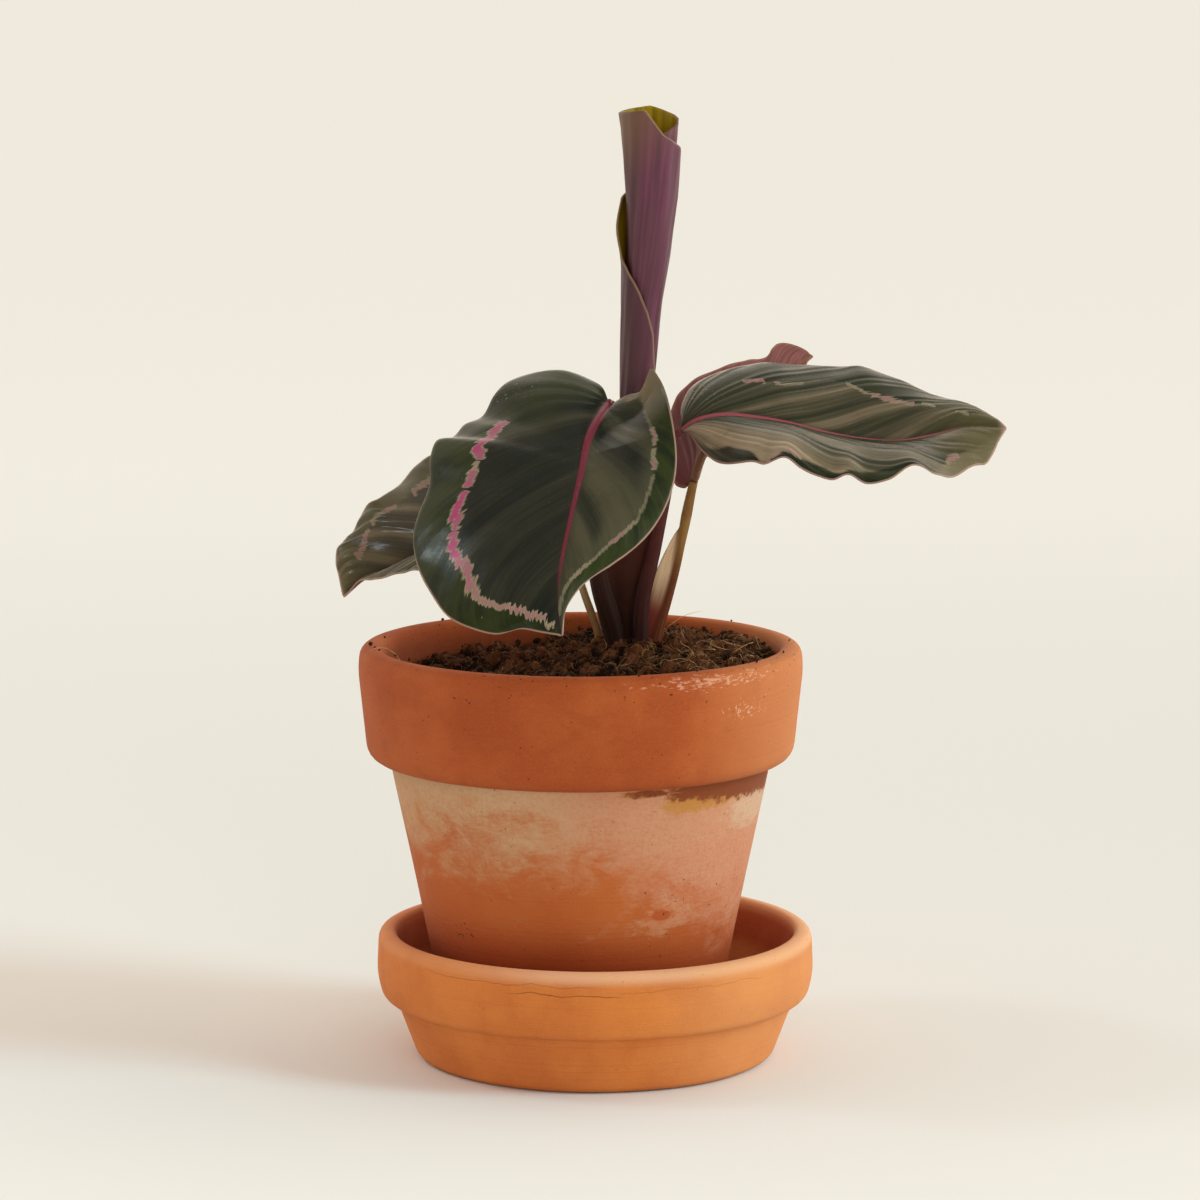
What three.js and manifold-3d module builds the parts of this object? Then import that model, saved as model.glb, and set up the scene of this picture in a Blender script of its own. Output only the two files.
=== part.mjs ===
// A young prayer plant in a terracotta pot on its saucer, in millimetres, with +Z up.
// The origin is the centre of the saucer's underside.
import * as THREE from 'three';
import { mergeVertices } from 'three/addons/utils/BufferGeometryUtils.js';
import Module from 'manifold-3d';

const wasm = await Module();
wasm.setup();

// Driving dimensions of the clay
const ROUND_STEPS = 40;
const CORNER_STEPS = 2;
const GAP = 0.3;
const SAUCER_FLOOR = 5.7;
const SAUCER_HEIGHT = 36.4;
const SAUCER_RADIUS = 62.7;
const SAUCER_FOOT_RADIUS = 51.2;
const SAUCER_BAND_BOTTOM = 16.6;
const SAUCER_LIP = 4.9;
const POT_X = -4.2;
const POT_FOOT = SAUCER_FLOOR + GAP;
const POT_TOP = 118.9;
const POT_FOOT_RADIUS = 38.1;
const POT_WALL = 5.6;
const POT_TAPER = 0.2036;
const BAND_BOTTOM = 86.2;
const BAND_RADIUS = 63.6;
const BAND_INSIDE = 54;
const BAND_FLARE = 0.085;
const POT_LIP = 6;
const POT_FLOOR = POT_FOOT + 7;
const DRAIN_RADIUS = 7;

// Driving dimensions of the soil and of what is in it
const CROWN = new THREE.Vector2(9.5, 4);
const SOIL_LOW = 110.5;
const CROWN_RISE = 9.3;
const CROWN_SPREAD = 17;
const SIDE_RISE = 6.3;
const LUMP_RISE = 0.55;
const EDGE_DIP = 1.5;
const RHIZOME_TOP = 108.5;
const RHIZOME_RADIUS = 11;
const ROOT_COUNT = 6;
const ROOT_RADIUS = 1.8;
const STALK_FOOT = RHIZOME_TOP + GAP;

// Driving dimensions of the leaves
const BLADE_THICKNESS = 0.7;
const RIB_HEIGHT = 0.8;
const RIB_WIDTH = 1.3;
const BASE_HALF_WIDTH = 1.1;
const TIP_HALF_WIDTH = 0.5;
const ACROSS = [0, 0.07, 0.18, 0.34, 0.52, 0.7, 0.86, 1];
const STALK_SIDES = 10;
const JOINT_LENGTH = 2.6;
const JOINT_GAP = 0.35;
const ROLL_THICKNESS = 0.7;
const ROLL_PITCH = 1.3;

const point = (values) => new THREE.Vector3(...values);
const radians = THREE.MathUtils.degToRad;

const clay = (color) => new THREE.MeshStandardMaterial({ color, roughness: 0.85, metalness: 0 });
const plant = (color) => new THREE.MeshStandardMaterial({ color, roughness: 0.45, metalness: 0 });

const plantGroup = new THREE.Group();

function addPiece(name, geometry, material) {
  const mesh = new THREE.Mesh(geometry, material);
  mesh.name = name;
  plantGroup.add(mesh);
}

// A revolved profile: each corner is [radius, height, rounding], and the profile is closed
function revolve(corners) {
  const profile = [];
  const count = corners.length;
  corners.forEach(([x, y, rounding = 0], i) => {
    const corner = new THREE.Vector2(x, y);
    if (rounding === 0) {
      profile.push(corner);
      return;
    }
    const before = new THREE.Vector2(...corners[(i + count - 1) % count]).sub(corner).setLength(rounding);
    const after = new THREE.Vector2(...corners[(i + 1) % count]).sub(corner).setLength(rounding);
    const arc = new THREE.QuadraticBezierCurve(before.add(corner), corner, after.add(corner));
    profile.push(...arc.getPoints(CORNER_STEPS));
  });
  if (corners[0][0] > 0) {
    profile.push(profile[0].clone());
  }
  return new THREE.LatheGeometry(profile, ROUND_STEPS).rotateX(Math.PI / 2);
}

function saucerGeometry() {
  const outside = SAUCER_RADIUS - 0.5;
  const inside = outside - SAUCER_LIP;
  return revolve([
    [0, 0],
    [SAUCER_FOOT_RADIUS, 0, 2.4],
    [SAUCER_RADIUS - 5.3, SAUCER_BAND_BOTTOM, 0.5],
    [SAUCER_RADIUS - 1.6, SAUCER_BAND_BOTTOM + 0.8, 2.2],
    [SAUCER_RADIUS, SAUCER_BAND_BOTTOM + 7.4, 3],
    [outside, SAUCER_HEIGHT, 3.2],
    [inside, SAUCER_HEIGHT, 1.6],
    [inside - 1.7, 20, 4],
    [48, SAUCER_FLOOR, 4],
    [0, SAUCER_FLOOR],
  ]);
}

// Inner and outer wall of the pot's tapered body at a height
const bodyRadius = (z) => POT_FOOT_RADIUS + (z - POT_FOOT) * POT_TAPER;
const bandInnerRadius = (z) => BAND_INSIDE + (z - BAND_BOTTOM) * BAND_FLARE;
const innerRadius = (z) => (z < BAND_BOTTOM ? bodyRadius(z) - POT_WALL : bandInnerRadius(z));

function potGeometry() {
  const step = BAND_BOTTOM - 2;
  const lip = BAND_RADIUS - 0.6;
  return revolve([
    [DRAIN_RADIUS, POT_FOOT, 0.8],
    [POT_FOOT_RADIUS, POT_FOOT, 1.5],
    [bodyRadius(BAND_BOTTOM), BAND_BOTTOM, 0.8],
    [BAND_RADIUS - 3, BAND_BOTTOM, 4.8],
    [BAND_RADIUS, POT_TOP - 6.9, 3],
    [lip, POT_TOP, 3.4],
    [lip - POT_LIP, POT_TOP, 2.4],
    [BAND_INSIDE, BAND_BOTTOM + 3, 3],
    [innerRadius(step), step, 3],
    [innerRadius(POT_FLOOR), POT_FLOOR, 4],
    [DRAIN_RADIUS, POT_FLOOR, 0.8],
  ]);
}

// The soil's surface: low at the left, higher at the right and round the crown, and lumpy
function soilHeight(x, y) {
  const crown = Math.exp(-((x - CROWN.x) ** 2 + (y - CROWN.y) ** 2) / CROWN_SPREAD ** 2);
  const side = THREE.MathUtils.smoothstep(x + 0.25 * y, -10, 24);
  const lumps = Math.sin(x / 3.1 + 1.3) * Math.sin(y / 2.7) + 0.6 * Math.sin((x + y) / 1.9);
  return SOIL_LOW + CROWN_RISE * crown + SIDE_RISE * side * (1 - crown) + LUMP_RISE * lumps;
}

// A closed skin over rings of points: every ring has as many points, and both ends are capped
function loft(rings) {
  const sides = rings[0].length;
  const vertices = rings.flat();
  const faces = [];
  rings.slice(1).forEach((_, i) => {
    for (let j = 0; j < sides; j += 1) {
      const a = i * sides + j;
      const b = i * sides + (j + 1) % sides;
      faces.push([a, b, b + sides], [a, b + sides, a + sides]);
    }
  });
  [[0, 1, 0], [rings.length - 1, 0, 1]].forEach(([row, first, second]) => {
    const middle = vertices.length;
    const centre = rings[row].reduce((sum, p) => sum.add(p), new THREE.Vector3()).divideScalar(sides);
    vertices.push(centre);
    for (let j = 0; j < sides; j += 1) {
      const pair = [row * sides + j, row * sides + (j + 1) % sides];
      faces.push([pair[first], pair[second], middle]);
    }
  });
  return indexed(vertices, faces);
}

function indexed(vertices, faces) {
  const geometry = new THREE.BufferGeometry();
  const numbers = vertices.flatMap((p) => p.toArray());
  geometry.setAttribute('position', new THREE.Float32BufferAttribute(numbers, 3));
  geometry.setIndex(faces.flat());
  return geometry;
}

function ring(radius, z, centreX) {
  return Array.from({ length: ROUND_STEPS }, (_, j) => {
    const angle = (j / ROUND_STEPS) * 2 * Math.PI;
    return new THREE.Vector3(centreX + radius * Math.cos(angle), radius * Math.sin(angle), z);
  });
}

function soilBlock() {
  const edge = innerRadius(SOIL_LOW) - 2 * GAP;
  const wall = [
    [POT_FLOOR + GAP, innerRadius(POT_FLOOR) - 4.5],
    [POT_FLOOR + 4, innerRadius(POT_FLOOR + 4) - 1.5 * GAP],
    [BAND_BOTTOM - 2, innerRadius(BAND_BOTTOM - 2) - 2 * GAP],
    [BAND_BOTTOM + 4.5, innerRadius(BAND_BOTTOM) - 4 * GAP],
    [SOIL_LOW - 4, edge],
  ];
  const rings = wall.map(([z, radius]) => ring(radius, z, POT_X));
  const spans = [1, 0.92, 0.81, 0.7, 0.59, 0.48, 0.37, 0.26, 0.15, 0.05];
  spans.forEach((span) => {
    const circle = ring(edge * span, 0, POT_X);
    const dip = EDGE_DIP * THREE.MathUtils.smoothstep(span, 0.9, 1);
    circle.forEach((p) => p.setZ(soilHeight(p.x, p.y) - dip));
    rings.push(circle);
  });
  return loft(rings);
}

// The last two points of a stalk: it meets the blade's base along the midrib, or from below
function stalkEnd(blade) {
  const { midrib, heldFrom } = LEAVES[blade];
  const [base, next] = midrib.map(point);
  const away = heldFrom ? point(heldFrom).normalize() : base.clone().sub(next).normalize();
  const gap = heldFrom ? JOINT_GAP + BLADE_THICKNESS / 2 + RIB_HEIGHT : JOINT_GAP;
  return [JOINT_LENGTH + gap, gap].map((back) => base.clone().addScaledVector(away, back));
}

// Reads a list of evenly spaced values at a share of its length
function valueAt(list, u) {
  const place = u * (list.length - 1);
  const low = Math.min(Math.floor(place), list.length - 2);
  return THREE.MathUtils.lerp(list[low], list[low + 1], place - low);
}

// A stalk along a smooth path; radii run evenly from its foot to its top, and widths widen it sideways
function stalkGeometry({ path, radii, widths = radii, blade, steps = 12, wing = () => 0, grow = 0 }) {
  const curve = new THREE.CatmullRomCurve3([...path.map(point), ...(blade ? stalkEnd(blade) : [])]);
  const frames = curve.computeFrenetFrames(steps, false);
  const rings = [];
  for (let i = 0; i <= steps; i += 1) {
    const u = i / steps;
    const centre = curve.getPointAt(u);
    const across = new THREE.Vector3(0, -1, 0).cross(frames.tangents[i]).normalize();
    const forward = new THREE.Vector3().crossVectors(frames.tangents[i], across);
    const radius = valueAt(radii, u) + grow;
    const width = valueAt(widths, u) + grow;
    rings.push(Array.from({ length: STALK_SIDES }, (_, j) => {
      const angle = (j / STALK_SIDES) * 2 * Math.PI;
      const out = Math.cos(angle);
      const reach = width * out + (out > 0.5 ? wing(u) * out : 0);
      const depth = radius * Math.sin(angle) * (out > 0.5 && wing(u) > 0 ? 0.6 : 1);
      return centre.clone().addScaledVector(across, reach).addScaledVector(forward, depth);
    }));
  }
  return loft(rings);
}

// The two margins and the midrib of a blade as smooth curves from its base to its tip, where the
// blade ends square to its midrib
function bladeRails({ midrib, marginA, marginB }) {
  const points = midrib.map(point);
  const rib = new THREE.CatmullRomCurve3(points);
  const acrossAt = (a, b, u) => point(b).sub(point(a)).projectOnPlane(rib.getTangent(u)).normalize();
  const baseSide = acrossAt(marginA[0], marginB[0], 0);
  const tipSide = acrossAt(marginA.at(-1), marginB.at(-1), 1);
  const margin = (inner, sign) => new THREE.CatmullRomCurve3([
    points[0].clone().addScaledVector(baseSide, sign * BASE_HALF_WIDTH),
    ...inner.map(point),
    points.at(-1).clone().addScaledVector(tipSide, sign * TIP_HALF_WIDTH),
  ]);
  return { rib, a: margin(marginA, -1), b: margin(marginB, 1) };
}

// The middle surface of a blade: rows from base to tip, columns from margin A over the midrib to margin B
function bladeGrid(leaf) {
  const rails = bladeRails(leaf);
  const rows = [];
  for (let i = 0; i <= leaf.rows; i += 1) {
    const u = i / leaf.rows;
    const middle = rails.rib.getPointAt(u);
    const along = rails.rib.getTangentAt(u);
    const half = (curve, sign, camber) => ACROSS.map((t) => {
      const chord = curve.getPointAt(u).sub(middle);
      const up = chord.clone().cross(along).multiplyScalar(sign).normalize();
      const bulge = valueAt(camber, u) * chord.length() * 4 * t * (1 - t);
      return middle.clone().addScaledVector(chord, t).addScaledVector(up, bulge);
    });
    const sideA = half(rails.a, -1, leaf.camber[0]).slice(1).reverse();
    rows.push([...sideA, ...half(rails.b, 1, leaf.camber[1])]);
  }
  return rows;
}

// A sheet of even thickness over a grid of points, with a rib along one column of its underside
function sheetGeometry(rows, thickness, ribColumn = -1) {
  const columns = rows[0].length;
  const flat = rows.flat();
  const skin = [];
  for (let i = 0; i + 1 < rows.length; i += 1) {
    for (let j = 0; j + 1 < columns; j += 1) {
      const a = i * columns + j;
      skin.push([a, a + 1, a + columns + 1], [a, a + columns + 1, a + columns]);
    }
  }
  const middle = indexed(flat, skin);
  middle.computeVertexNormals();
  const normals = flat.map((_, i) => new THREE.Vector3().fromBufferAttribute(middle.attributes.normal, i));
  const upper = flat.map((p, i) => p.clone().addScaledVector(normals[i], thickness / 2));
  const lower = flat.map((p, i) => {
    const row = Math.floor(i / columns);
    const distance = ribColumn < 0 ? Infinity : p.distanceTo(rows[row][ribColumn]);
    const taper = 1 - 0.8 * row / (rows.length - 1);
    const rib = RIB_HEIGHT * taper * Math.exp(-((distance / RIB_WIDTH) ** 2));
    return p.clone().addScaledVector(normals[i], -thickness / 2 - rib);
  });
  const under = flat.length;
  const rim = [];
  for (let j = 0; j < columns; j += 1) {
    rim.push(j);
  }
  for (let i = 1; i < rows.length; i += 1) {
    rim.push(i * columns + columns - 1);
  }
  for (let j = columns - 2; j >= 0; j -= 1) {
    rim.push((rows.length - 1) * columns + j);
  }
  for (let i = rows.length - 2; i > 0; i -= 1) {
    rim.push(i * columns);
  }
  const faces = [...skin, ...skin.map(([a, b, c]) => [a + under, c + under, b + under])];
  rim.forEach((a, k) => {
    const b = rim[(k + 1) % rim.length];
    faces.push([b, a, a + under], [b, a + under, b + under]);
  });
  return indexed([...upper, ...lower], faces);
}

function solidFrom(geometry) {
  const bare = new THREE.BufferGeometry();
  bare.setAttribute('position', geometry.attributes.position);
  bare.setIndex(geometry.index);
  const merged = mergeVertices(bare, 1e-4);
  return new wasm.Manifold(new wasm.Mesh({
    numProp: 3,
    vertProperties: new Float32Array(merged.attributes.position.array),
    triVerts: new Uint32Array(merged.index.array),
  }));
}

function geometryFrom(solid) {
  const mesh = solid.getMesh();
  const geometry = new THREE.BufferGeometry();
  geometry.setAttribute('position', new THREE.BufferAttribute(mesh.vertProperties, 3));
  geometry.setIndex(new THREE.BufferAttribute(mesh.triVerts, 1));
  return geometry;
}

// The short underground stem with thick roots that spread down from it
function rhizomeSolid(grow) {
  const body = new THREE.LatheGeometry([
    new THREE.Vector2(0, RHIZOME_TOP - 15 - grow),
    new THREE.Vector2(RHIZOME_RADIUS * 0.6 + grow, RHIZOME_TOP - 13 - grow),
    new THREE.Vector2(RHIZOME_RADIUS + grow, RHIZOME_TOP - 6),
    new THREE.Vector2(RHIZOME_RADIUS * 0.9 + grow, RHIZOME_TOP + grow),
    new THREE.Vector2(0, RHIZOME_TOP + grow),
  ], 16).rotateX(Math.PI / 2).translate(CROWN.x, CROWN.y, 0);
  let solid = solidFrom(body);
  for (let k = 0; k < ROOT_COUNT; k += 1) {
    const angle = (k / ROOT_COUNT) * 2 * Math.PI + 0.4;
    const reach = 16 + 4 * (k % 2);
    const at = (radius, drop) => [
      CROWN.x + radius * Math.cos(angle), CROWN.y + radius * Math.sin(angle), RHIZOME_TOP - drop,
    ];
    const root = stalkGeometry({
      path: [at(4, 9), at(reach * 0.6, 14), at(reach, 26), at(reach + 2, 44 + 6 * (k % 3))],
      radii: [ROOT_RADIUS, ROOT_RADIUS, 0.8],
      steps: 5,
      grow,
    });
    solid = solid.add(solidFrom(root));
  }
  return solid;
}

const LEAVES = {
  front_leaf: {
    rows: 25,
    heldFrom: [0.1, 0.5, -0.9],
    camber: [[-0.06, -0.2, -0.02, 0.07, 0.07, 0.07, 0.07], [0.06, 0.06]],
    color: 0x2f3a2b,
    midrib: [[4.5, -9, 189], [2, -16, 186.5], [-1.5, -27, 181.5], [-4, -43, 172], [-7, -57, 160.5],
      [-9.5, -67, 149], [-10, -73, 140.5], [-9, -77, 133]],
    marginA: [[9, -11, 191], [13, -13, 192.5], [15.5, -11, 198.5], [18, -14, 196], [20.5, -21, 190],
      [22.5, -37, 176], [21, -45, 168], [17.5, -51, 161], [12, -57, 155], [4.5, -62, 150],
      [-1.5, -65, 146.5], [-5, -68, 143.5], [-8, -72, 139]],
    marginB: [[2, -5, 192.5], [-1.5, -1, 194.5], [-9, 3, 196.5], [-17, 4, 196], [-24.5, 2, 193.5],
      [-28.5, -2, 190], [-32, -7, 184.5], [-36.5, -9, 182.5], [-40, -14, 179.5], [-44, -15, 179],
      [-46, -21, 174.5], [-46, -29, 168], [-50, -42, 156], [-48.5, -51, 148], [-44.5, -59, 141.5],
      [-39.5, -65, 136], [-33, -69, 133.5], [-26.5, -72, 132.5], [-20.5, -72, 134], [-14.5, -75, 133.5]],
  },
  right_leaf: {
    rows: 27,
    camber: [[0.08, 0.08], [0.08, 0.08]],
    color: 0x3a4034,
    midrib: [[24.5, 3, 179.5], [28, 3, 182], [32.5, 3, 183.5], [38, 3, 184], [54, 1, 182],
      [64, 0, 179.5], [75.5, -1, 177.5], [85.5, -2, 177], [94.5, -2, 178.5], [105.5, -1, 181],
      [116.5, 0, 180.5]],
    marginA: [[24.5, 5, 182], [24.5, 10, 185], [26, 16, 188.5], [29.5, 22, 191.5], [36.5, 27, 194],
      [47, 31, 196], [58, 32, 195.5], [69.5, 32, 195], [77, 31, 195], [88, 27, 191.5],
      [98.5, 20, 187.5], [105.5, 14, 186.5], [114.5, 3, 182.5]],
    marginB: [[26.5, 0, 179], [28.5, -5, 176.5], [32, -12, 173.5], [36.5, -19, 172.5], [44, -26, 174],
      [47, -28, 173.5], [52.5, -29, 175.5], [57, -32, 173], [61, -34, 171], [65.5, -35, 170],
      [70, -35, 171.5], [75, -36, 169], [81, -35, 170], [88.5, -30, 173.5], [94.5, -29, 171],
      [99.5, -25, 169.5], [106, -18, 172], [109.5, -15, 172], [114.5, -4, 178]],
  },
  left_leaf: {
    rows: 19,
    camber: [[0.1, 0.1], [0.08, 0.08]],
    color: 0x4a4633,
    midrib: [[-18, 12, 161], [-25, 16, 157.5], [-33.5, 20, 152.5], [-42, 24, 146], [-51, 27, 141],
      [-59, 29, 136.5], [-67, 30, 133.5], [-73.5, 30, 128]],
    marginA: [[-20.5, 8, 156.5], [-27, 5, 150], [-36, 6, 144.5], [-44.5, 9, 140], [-52, 13, 138],
      [-58.5, 17, 136], [-64, 22, 134], [-68.5, 26, 133], [-71.5, 29, 129.5]],
    marginB: [[-21, 16, 164.5], [-27.5, 24, 168], [-36.5, 32, 170.5], [-45.5, 38, 169], [-50, 41, 167],
      [-55, 44, 162], [-58.5, 46, 158], [-63.5, 47, 154.5], [-67, 47, 153], [-71, 44, 145.5],
      [-75.5, 40, 141], [-76, 37, 137.5], [-75, 34, 133.5]],
  },
  back_leaf: {
    rows: 19,
    camber: [[0.08, 0.08], [0.08, 0.08]],
    color: 0x5a3540,
    midrib: [[28, 6, 164], [29, 9, 167.5], [31.5, 13, 173], [36, 19, 179.5], [42.5, 27, 185.5],
      [50, 35, 191], [57.5, 42.5, 193.5], [63.4, 46, 196.7]],
    marginA: [[29.3, 12, 167.5], [33.5, 19, 171.5], [40, 27, 175.5], [48.5, 33, 180], [56, 37, 185.5],
      [60.5, 41, 191], [62, 44.3, 195]],
    marginB: [[25.5, 7, 162.6], [23, 7, 163.4], [21.5, 13, 170], [21, 20, 176.5], [22, 27, 183],
      [24, 31, 187], [28, 34, 190.5], [37.5, 38, 194.5], [44.5, 41, 196], [49.8, 43, 196.7],
      [51.9, 44, 199.5], [53.7, 45, 200.6], [57.5, 46, 200.2], [61.6, 46.5, 198.4]],
  },
};

const STALKS = {
  front_leaf_stalk: {
    blade: 'front_leaf',
    path: [[6.6, -0.2, STALK_FOOT], [5.6, -0.2, 121], [1.6, -1, 136], [-0.5, -2, 153], [2, -3.5, 170],
      [4.2, -5.4, 180]],
    radii: [2.7, 3, 2.8, 2, 1.6, 1.2],
    color: 0x3a1a1c,
  },
  rolled_leaf_stalk: {
    path: [[10.3, 5.6, STALK_FOOT], [10.4, 5.9, 125], [10.6, 5.6, 145], [10.8, 5, 163.6]],
    radii: [3.4, 3.2, 3, 2.8, 2.8, 3.6],
    widths: [4.8, 5.2, 6.2, 7.6, 7.2, 4.2],
    color: 0x351519,
  },
  right_leaf_stalk: {
    blade: 'right_leaf',
    path: [[12.6, -1.2, STALK_FOOT], [12.9, -1, 122], [13.8, -0.6, 133], [16.9, 0, 146], [19.8, 1, 160],
      [22, 2.4, 172]],
    radii: [2.2, 2.2, 2.1, 1.7, 1.5, 1.2],
    color: 0x3c181b,
  },
  back_leaf_stalk: {
    blade: 'back_leaf',
    path: [[17, 3.6, STALK_FOOT], [17.6, 3.4, 120], [20.4, 2.6, 130], [23, 2.8, 140], [25, 3, 150]],
    radii: [2, 1.9, 1.3, 1.2, 1.2, 1.5, 1.2],
    steps: 16,
    wing: (u) => 4.2 * Math.sin(Math.PI * THREE.MathUtils.clamp((u - 0.14) / 0.62, 0, 1)) ** 0.8,
    color: 0x6b3a2c,
  },
  left_leaf_stalk: {
    blade: 'left_leaf',
    path: [[2, 5.4, STALK_FOOT], [1, 5.6, 120], [-3, 6, 132], [-7.5, 7, 146], [-11.5, 8.6, 157]],
    radii: [1.2, 1.1, 1, 1.1],
    color: 0x8a6a32,
  },
};

// The rolled leaf: a sheet wound round an upright axis, whose outer margin climbs round it as a helix
const ROLL = {
  depth: 5,
  // Height, middle in X and outer radius of the roll
  sections: [[164.2, 11, 4.2], [189.5, 11.9, 5.4], [202.5, 12.7, 5.8], [216.5, 13.5, 6.3],
    [231, 14.8, 7.1], [245, 15.6, 7.9], [265, 15.7, 8.5], [272, 15.6, 9.3]],
  // Height of the outer margin at each angle of the winding, in degrees; the camera side is -90
  margin: [[400, 166], [350, 186], [320, 198], [305, 207], [284, 213.5], [258, 219.5], [205, 228.5],
    [180, 244], [90, 251], [0, 258.5], [-66, 263.4], [-100, 270.3]],
  // The rim of the inner turn, from its start to where the outer margin takes over
  rim: [[-500, 268], [-450, 262.5], [-426, 263.4], [-360, 267], [-270, 271], [-180, 269.3],
    [-100, 270.3]],
  start: -500,
  end: 400,
  columnAngle: 22.5,
  rows: 14,
  flap: { reach: 1.8, height: 236, spread: 8, angle: 30 },
};

// Reads a list of [place, value, ...] entries between its entries, in either direction
function lookUp(list, place, column = 1) {
  const rising = list[list.length - 1][0] > list[0][0];
  const entries = rising ? list : [...list].reverse();
  const next = entries.findIndex(([key]) => key >= place);
  if (next <= 0) {
    return next === 0 ? entries[0][column] : entries[entries.length - 1][column];
  }
  const [low, high] = [entries[next - 1], entries[next]];
  return THREE.MathUtils.mapLinear(place, low[0], high[0], low[column], high[column]);
}

// The winding angle of the outer margin at a height
const marginAngle = (z) => lookUp(ROLL.margin.map(([angle, height]) => [height, angle]), z);

function rolledLeafGeometry() {
  const bottom = ROLL.sections[0][0];
  const join = ROLL.margin[ROLL.margin.length - 1][0];
  const columns = (ROLL.end - ROLL.start) / ROLL.columnAngle;
  const rows = Array.from({ length: ROLL.rows + 1 }, () => []);
  for (let j = 0; j <= columns; j += 1) {
    const winding = ROLL.start + j * ROLL.columnAngle;
    const top = lookUp(winding < join ? ROLL.rim : ROLL.margin, winding);
    rows.forEach((row, i) => {
      const z = THREE.MathUtils.lerp(bottom, top, i / ROLL.rows);
      const behind = Math.max(0, marginAngle(z) - winding);
      const above = (z - ROLL.flap.height) / ROLL.flap.spread;
      const flap = ROLL.flap.reach * Math.exp(-(above ** 2) - (behind / ROLL.flap.angle) ** 2);
      const radius = lookUp(ROLL.sections, z, 2) - ROLL_PITCH * behind / 360 + flap;
      const angle = radians(winding);
      row.push(new THREE.Vector3(
        lookUp(ROLL.sections, z) + radius * Math.cos(angle), ROLL.depth + radius * Math.sin(angle), z));
    });
  }
  return sheetGeometry(rows, ROLL_THICKNESS);
}

function soilGeometry() {
  let soil = solidFrom(soilBlock()).subtract(rhizomeSolid(GAP));
  Object.values(STALKS).forEach((stalk) => {
    soil = soil.subtract(solidFrom(stalkGeometry({ ...stalk, grow: GAP })));
  });
  return geometryFrom(soil);
}

addPiece('saucer', saucerGeometry(), clay(0xc98552));
addPiece('pot', potGeometry().translate(POT_X, 0, 0), clay(0xb8683c));
addPiece('soil', soilGeometry(), new THREE.MeshStandardMaterial({ color: 0x3b2418, roughness: 1 }));
addPiece('rhizome', geometryFrom(rhizomeSolid(0)), plant(0xb79a6a));
Object.entries(STALKS).forEach(([name, stalk]) => {
  addPiece(name, stalkGeometry(stalk), plant(stalk.color));
});
Object.entries(LEAVES).forEach(([name, leaf]) => {
  addPiece(name, sheetGeometry(bladeGrid(leaf), BLADE_THICKNESS, ACROSS.length - 1), plant(leaf.color));
});
addPiece('rolled_leaf', rolledLeafGeometry(), plant(0x5b3048));

export default plantGroup;
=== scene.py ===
# A young prayer plant in a terracotta pot on its saucer. Data is in millimetres, the scene in metres.
import math

import bmesh
import bpy
import numpy as np
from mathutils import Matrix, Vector, noise


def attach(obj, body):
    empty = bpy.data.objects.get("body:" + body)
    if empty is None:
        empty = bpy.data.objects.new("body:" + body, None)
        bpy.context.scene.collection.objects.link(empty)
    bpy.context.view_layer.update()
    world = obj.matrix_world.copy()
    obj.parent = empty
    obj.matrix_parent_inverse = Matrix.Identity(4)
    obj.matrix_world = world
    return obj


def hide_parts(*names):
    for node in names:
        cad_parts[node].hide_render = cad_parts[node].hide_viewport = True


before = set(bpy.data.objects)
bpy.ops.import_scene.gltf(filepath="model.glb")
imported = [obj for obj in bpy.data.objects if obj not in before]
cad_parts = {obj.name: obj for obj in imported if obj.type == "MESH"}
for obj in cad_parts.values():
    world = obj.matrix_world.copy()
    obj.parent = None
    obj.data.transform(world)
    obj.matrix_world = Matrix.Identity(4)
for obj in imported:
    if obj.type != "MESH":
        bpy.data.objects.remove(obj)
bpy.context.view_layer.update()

MM = 0.001
SEED = 11

# Where the photograph was taken from
CAMERA_PLACE = (1.34, -1308.0, 324.0)
CAMERA_DIP = 8.38
CAMERA_LENS = 139.2

# Clay sizes
SAUCER_FLOOR = 5.7
SAUCER_HEIGHT = 36.4
SAUCER_RADIUS = 62.7
SAUCER_FOOT_RADIUS = 51.2
SAUCER_BAND_BOTTOM = 16.6
SAUCER_LIP = 4.9
POT_X = -4.2
POT_FOOT = 6.0
POT_TOP = 118.9
POT_FOOT_RADIUS = 38.1
POT_WALL = 5.6
POT_TAPER = 0.2036
POT_FLOOR = 13.0
POT_LIP = 6.0
BAND_BOTTOM = 86.2
BAND_RADIUS = 63.6
BAND_INSIDE = 54.0
BAND_FLARE = 0.085
DRAIN_RADIUS = 7.0
CLAY_STEPS = 240
CLAY_WOBBLE = 0.35

# Soil and plant sizes
CROWN = (9.5, 4.0)
SOIL_LOW = 110.5
SOIL_RINGS = 120
SOIL_SIDES = 420
CROWN_RISE = 9.3
CROWN_SPREAD = 17.0
SIDE_RISE = 6.3
LUMP_RISE = 0.55
EDGE_DIP = 1.5
HOLLOW = (-42, 4)
HEAP = (-19, 18)
CRUMB_COUNT = 2800
STRAND_TRIES = 3000
STRAND_ROWS = 7
STRAND_SIDES = 3
STALK_FOOT = 108.8
STALK_STEPS = 90
STALK_SIDES = 28
BASE_HALF_WIDTH = 1.1
TIP_HALF_WIDTH = 0.5
BLADE_THICKNESS = 0.46
RIB_HEIGHT = 0.9
RIB_WIDTH = 1.1
RIB_GROOVE = 0.35
JOINT_LENGTH = 2.6
ROLL_THICKNESS = 0.5
ROLL_PITCH = 1.3
ROLL_ROWS = 131
ROLL_STEP = 5.0

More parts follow.
